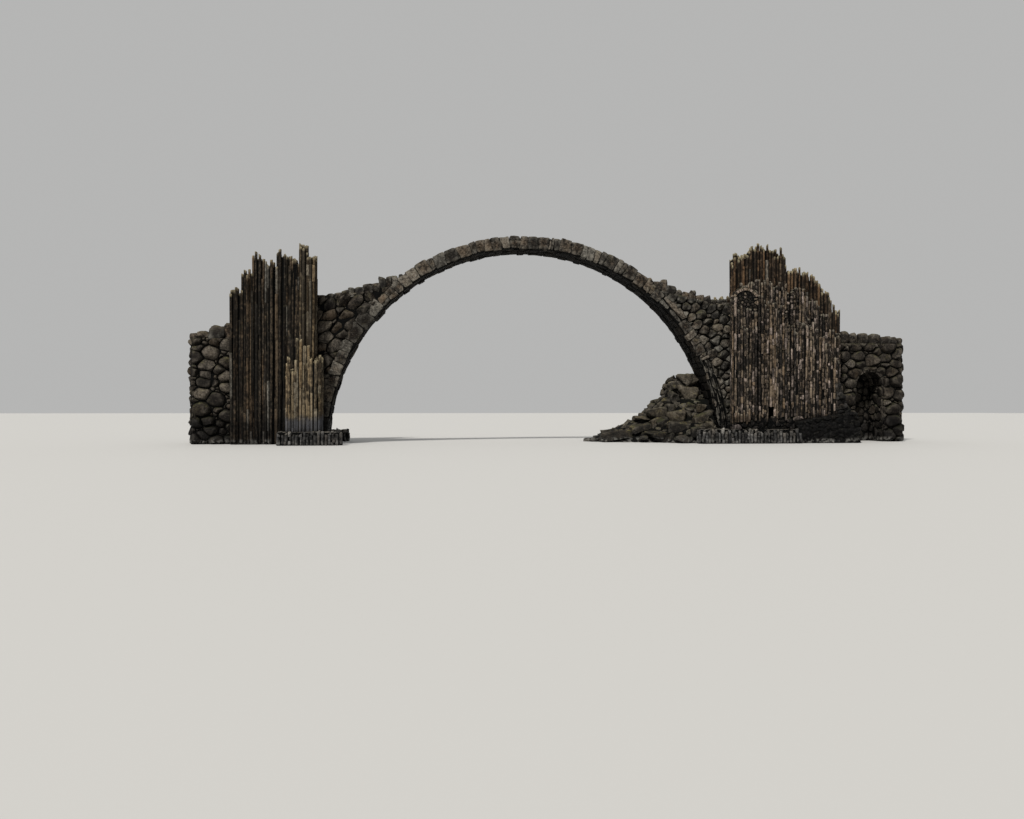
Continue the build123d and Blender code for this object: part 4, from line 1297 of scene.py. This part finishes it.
rng = gen(260)
bag = Bag()
BIG = [(16.08, 4.3, 0.36, (0.5, 0.5, 0.15, 0)), (16.08, 3.66, 0.26, (0.6, 0.4, 0.4, 0)), (16.05, 3.2, 0.25, (0.45, 0.5, 0.1, 0)),
       (17.56, 4.12, 0.4, (0.62, 0.7, 0.25, 0)), (16.85, 4.3, 0.36, (0.4, 0.5, 0.1, 0)), (18.3, 4.25, 0.36, (0.42, 0.5, 0.1, 0))]
wing_wall(bag, rng, 1.0, 15.55, END_R, -1.0, True, fixed=BIG)
wing_wall(bag, rng, 1.0, 15.55, END_R, 1.0, False)
end_wall(bag, rng, END_R, UX)
# painted shade: the grotto's side stones and vault stones get very dark tones, for the shade inside the opening
for xx, nn in ((gx0, UX), (gx1, -UX)):
    end_wall(bag, rng, xx, nn, bright=0.10, y_to=GROTTO_BACK, z_to=gz, sizes=(0.12, 0.32, 1.0), proud=(0.03, 0.07))
t = 0.0
while t < 180:
    w = min(rng.uniform(22, 34), 180 - t)
    y = -CORE_Y - 0.04
    while y < GROTTO_BACK - 0.05:
        d = min(rng.uniform(0.35, 0.6), GROTTO_BACK - y)
        arc_block(bag, t + 0.8, t + w - 0.8, gr - 0.06, gr + 0.2, y + 0.01, y + d - 0.01, rng, tone_of(rng, 0.2, 0.12), cx=gc, cz=gz, chops=3, amp=0.014)
        y += d
    t += w
flat_cells(bag, (PIER_END_R, END_R, -0.62, 0.62), lambda x, y, r: True, (0.12, 0.3, 1.0), PATH_Z, rng, proud=(0.015, 0.03), pale=0.08,
           limits=lambda x, y: [(1, 0, END_R), (-1, 0, -PIER_END_R)])
bag.build("wing_boulders_right", M_WING, "wing_rock", seed=17)

# painted shade: the grotto's back stones get very dark tones, for the shade at the back of the opening
rng = gen(262)
bag = Bag()
rubble(bag, (gx0, gx1, 0, gz + gr), lambda x, z, r: z < gz or math.hypot(x - gc, z - gz) < gr, (0.12, 0.3, 1.0),
       lambda x, z: [(1, 0, gx1), (-1, 0, -gx0), (0, -1, 0)], rng, lambda x, z: (np.array([0, GROTTO_BACK, 0]), UX, UZ, -UY), (0.04, 0.09),
       bright=0.06, spread=0.08, pale=0.0, **ROUND)
bag.build("grotto_back_stones", M_WING, "wing_rock", seed=17)

rng = gen(261)
bag = Bag()
for sign in (-1.0, 1.0):
    wing_wall(bag, rng, -1.0, PIER_END_L - 0.02, END_L, sign, False)
end_wall(bag, rng, -END_L, -UX)
flat_cells(bag, (-END_L, -PIER_END_L, -0.62, 0.62), lambda x, y, r: True, (0.12, 0.3, 1.0), PATH_Z, rng, proud=(0.015, 0.03), pale=0.08,
           limits=lambda x, y: [(1, 0, -PIER_END_L), (-1, 0, END_L)])
bag.build("wing_boulders_left", M_WING, "wing_rock", seed=17)

# ---------------------------------------------------------------- rock heap
LOW = ([(3.25, 0.9), (4.2, -0.1), (6.3, -0.9), (7.3, -2.2), (9.0, -2.4), (9.0, 2.95), (6.2, 3.0), (4.3, 2.5)],
       [(5.4, 1.0), (5.85, 0.4), (6.85, -0.4), (7.75, -1.5), (9.0, -1.6), (9.0, 2.5), (6.9, 2.6), (5.8, 2.0)], 0.0, 0.95)
MID = ([(5.65, 1.0), (6.05, 0.5), (7.05, -0.2), (8.0, -0.9), (9.4, -1.0), (9.4, 2.3), (6.95, 2.5), (6.0, 1.9)],
       [(7.15, 1.3), (7.25, 0.7), (7.65, 0.25), (8.2, 0.0), (9.2, -0.3), (9.2, 2.0), (7.7, 2.4), (7.3, 1.9)], 0.95, 2.15)
TOP = ([(7.25, 1.3), (7.35, 0.8), (7.7, 0.45), (8.95, 0.4), (8.95, 1.9), (8.2, 2.3), (7.75, 2.3), (7.4, 1.9)],
       [(7.75, 1.3), (7.85, 1.0), (8.15, 0.9), (8.75, 0.9), (8.75, 1.5), (8.5, 1.8), (8.2, 1.9), (7.9, 1.7)], 2.15, 3.25)


def in_poly(p, x, y):
    hit = False
    for i in range(len(p)):
        (xa, ya), (xb, yb) = p[i], p[(i + 1) % len(p)]
        if (ya > y) != (yb > y) and x < (xb - xa) * (y - ya) / (yb - ya) + xa:
            hit = not hit
    return hit


def clear_of_bridge(p):
    """Whether a stone there keeps out of the arch ring and the ledges."""
    if math.hypot(p[0], p[2] - AZ) > 9.25 and abs(p[1]) < 1.1:
        return False
    if p[0] > 8.95 and p[2] < 0.5:
        return False
    return not (p[0] > 7.95 and abs(p[1]) > 2.4 and p[2] < 0.5)


def heap_fill(bag, rng, part, size, gap, count, bright=0.42):
    """Angular rocks over the sloping sides and the top of one stage of the heap."""
    base, crest, z0, z1 = part
    n = len(base)
    placed = []

    def try_at(p, flat):
        q = rng.uniform(*size)
        if not clear_of_bridge(p) or any(np.linalg.norm(p - o) < gap * (q + w) for o, w in placed):
            return
        placed.append((p, q))
        rot = rotation(rng, 40, 10 if flat else 26) @ tilt_y(-9)
        rock(bag, p + np.array([0.05, 0.08, -0.4 * q]), (q * rng.uniform(0.9, 1.35), q * rng.uniform(0.75, 1.05), q * rng.uniform(0.5, 0.85)), rng,
             tone_of(rng, bright, 0.24, 0.5, 0.10), level=2 if q < 0.36 else 3, planes=8, rot=rot, amp=0.028, power=22, boxy=0.6)

    for _ in range(count):
        i = rng.integers(0, n)
        j = (i + 1) % n
        s, t = rng.random(), rng.random()
        a = np.array([*base[i], z0]) * (1 - s) + np.array([*base[j], z0]) * s
        b = np.array([*crest[i], z1]) * (1 - s) + np.array([*crest[j], z1]) * s
        try_at(a * (1 - t) + b * t, False)
    for _ in range(count):
        x, y = rng.uniform(min(p[0] for p in crest), max(p[0] for p in crest)), rng.uniform(-2.4, 2.6)
        if in_poly(crest, x, y):
            try_at(np.array([x, y, z1]), True)


def named(bag, x0, x1, z0, z1, y, dy, rng, tone, deg=-8.0, level=4, power=24, planes=6, amp=0.026, boxy=0.75):
    rock(bag, ((x0 + x1) / 2, y - 0.26, (z0 + z1) / 2), ((x1 - x0) / 2 * 1.14, dy, (z1 - z0) / 2 * 1.16), rng, tone, level=level, planes=planes,
         rot=rotation(rng, 8, 5) @ tilt_y(deg), amp=amp, power=power, boxy=boxy)


rng = gen(270)
bag = Bag()
heap_fill(bag, rng, LOW, (0.2, 0.42), 0.5, 1500, bright=0.3)
# the great flat slab that rises to the right, with the dark slanted ones beyond it
named(bag, 3.78, 6.2, 0.12, 0.62, 0.75, 0.95, rng, (0.55, 0.12, 0.12, 0), -9, planes=4)
named(bag, 5.2, 6.9, 0.45, 0.95, 0.6, 0.8, rng, (0.5, 0.15, 0.1, 0), -14, planes=4)
named(bag, 6.55, 7.25, 0.5, 1.2, -0.05, 0.45, rng, (0.3, 0.4, 0.0, 0), -32)
named(bag, 5.95, 7.02, 0.14, 0.56, -0.72, 0.42, rng, (0.45, 0.4, 0.05, 0), 2)
named(bag, 5.5, 5.92, 0.1, 0.34, -0.72, 0.3, rng, (0.75, 0.4, 0.8, 0), 0, level=3)
named(bag, 6.95, 7.7, 0.08, 0.36, -1.95, 0.3, rng, (0.8, 0.3, 0.9, 0), 0, level=3)
named(bag, 6.9, 8.15, 0.36, 1.0, -1.0, 0.5, rng, (0.28, 0.35, 0.05, 0), -6)
named(bag, 7.75, 8.5, 0.22, 0.8, -1.8, 0.4, rng, (0.38, 0.15, 0.1, 0), 6)
named(bag, 8.3, 8.95, 0.2, 0.72, -2.0, 0.4, rng, (0.36, 0.15, 0.1, 0), -8)
for x, y in ((3.35, 0.9), (3.6, 0.5), (3.75, 1.1), (4.0, 0.2), (4.5, -0.1)):
    s = rng.uniform(0.16, 0.26)
    rock(bag, (x, y, 0.08), (s * 1.3, s, s * 0.6), rng, (0.75, 0.75, 0.35, 0), level=3, planes=7, rot=rotation(rng, 60, 8), amp=0.015, power=18)
bag.build("heap_lower_rocks", M_HEAP, "heap_rock", seed=19)

rng = gen(271)
bag = Bag()
heap_fill(bag, rng, MID, (0.2, 0.38), 0.5, 1200, bright=0.3)
named(bag, 5.62, 6.6, 1.06, 1.3, 0.85, 0.5, rng, (0.72, 0.3, 0.3, 0), 0, planes=4)
named(bag, 6.2, 7.25, 1.15, 1.72, 0.6, 0.55, rng, (0.6, 0.4, 0.3, 0), -14)
named(bag, 6.85, 7.2, 1.62, 1.97, 0.8, 0.35, rng, (0.6, 0.6, 0.3, 0), -30, level=3)
named(bag, 6.3, 7.06, 0.72, 1.22, 0.25, 0.45, rng, (0.82, 0.65, 0.25, 0), -22)
named(bag, 7.15, 7.78, 1.42, 1.82, 0.4, 0.35, rng, (0.5, 0.2, 0.3, 0), 8, level=3)
named(bag, 7.08, 8.1, 0.98, 1.6, -0.3, 0.42, rng, (0.9, 0.6, 0.45, 0), -17)
named(bag, 8.0, 8.64, 1.5, 2.0, 0.1, 0.42, rng, (0.5, 0.7, 0.1, 0), 6)
named(bag, 8.5, 9.0, 1.32, 1.9, -0.1, 0.4, rng, (0.75, 0.85, 0.15, 0), 14)
named(bag, 8.15, 8.95, 0.8, 1.44, -0.85, 0.42, rng, (0.55, 0.5, 0.1, 0), -8)
named(bag, 8.66, 9.1, 0.72, 1.06, -1.25, 0.32, rng, (0.7, 0.7, 0.15, 0), 8, level=3)
bag.build("heap_middle_rocks", M_HEAP, "heap_rock", seed=19)

rng = gen(272)
bag = Bag()
heap_fill(bag, rng, TOP, (0.18, 0.32), 0.5, 700, bright=0.34)
named(bag, 8.1, 9.05, 2.8, 3.45, 0.95, 0.5, rng, (0.62, 0.6, 0.4, 0), -14, amp=0.055)
named(bag, 7.5, 8.1, 2.5, 3.02, 1.0, 0.45, rng, (0.45, 0.3, 0.3, 0), -10, amp=0.055)
named(bag, 7.85, 8.45, 2.75, 3.2, 1.05, 0.4, rng, (0.42, 0.4, 0.2, 0), -20, level=3, amp=0.055)
named(bag, 7.95, 9.0, 2.05, 2.8, 0.7, 0.5, rng, (0.85, 0.35, 0.6, 0), -6, amp=0.055)
named(bag, 7.38, 8.0, 1.9, 2.5, 0.7, 0.45, rng, (0.4, 0.25, 0.25, 0), 10, amp=0.055)
named(bag, 8.7, 9.3, 1.85, 2.85, 1.55, 0.4, rng, (0.3, 0.4, 0.1, 0), 4, level=3)
named(bag, 8.9, 9.5, 1.2, 2.2, 1.75, 0.4, rng, (0.3, 0.4, 0.1, 0), -6, level=3)
named(bag, 8.92, 9.34, 1.95, 2.75, 1.15, 0.35, rng, (0.3, 0.4, 0.1, 0), 4, level=3)
named(bag, 8.70, 9.30, 2.48, 3.13, 1.2, 0.3, rng, (0.25, 0.4, 0.1, 0), 4, level=3)
bag.build("heap_upper_rocks", M_HEAP, "heap_rock", seed=19)

print("TOTAL", TOTAL[0])

# ---------------------------------------------------------------- stage, light, camera
floor_mesh = bpy.data.meshes.new("floor")
floor_mesh.from_pydata([(-260, -160, 0), (260, -160, 0), (260, 360, 0), (-260, 360, 0)], [], [(0, 1, 2, 3)])
floor = bpy.data.objects.new("floor", floor_mesh)
floor.location = (0, 0, -0.004)
bpy.context.scene.collection.objects.link(floor)
fm = bpy.data.materials.new("pale_floor")
fm.use_nodes = True
fb = fm.node_tree.nodes["Principled BSDF"]
fb.inputs["Base Color"].default_value = (0.50, 0.50, 0.49, 1)
fb.inputs["Roughness"].default_value = 0.75
floor_mesh.materials.append(fm)

world = bpy.data.worlds.new("soft")
bpy.context.scene.world = world
world.use_nodes = True
bg = world.node_tree.nodes["Background"]
bg.inputs[0].default_value = (0.93, 0.93, 0.92, 1)
bg.inputs[1].default_value = 0.5

sun_data = bpy.data.lights.new("key", "SUN")
sun_data.energy = 3.7
sun_data.angle = math.radians(7)
sun_data.color = (1.0, 0.96, 0.9)
sun = bpy.data.objects.new("key", sun_data)
sun.rotation_euler = (math.radians(44), 0, math.radians(-34))
bpy.context.scene.collection.objects.link(sun)

cam_data = bpy.data.cameras.new("camera")
cam = bpy.data.objects.new("camera", cam_data)
bpy.context.scene.collection.objects.link(cam)
cam.location = (-5.71 + AX, -44.24, 1.62)
cam.rotation_mode = "QUATERNION"
cam.rotation_quaternion = Vector((0.1132, 0.9936, 0.0)).to_track_quat("-Z", "Y")
cam_data.sensor_width = 36
cam_data.lens = 31.64
cam_data.clip_end = 900
bpy.context.scene.camera = cam
bpy.context.scene.view_settings.view_transform = "Standard"
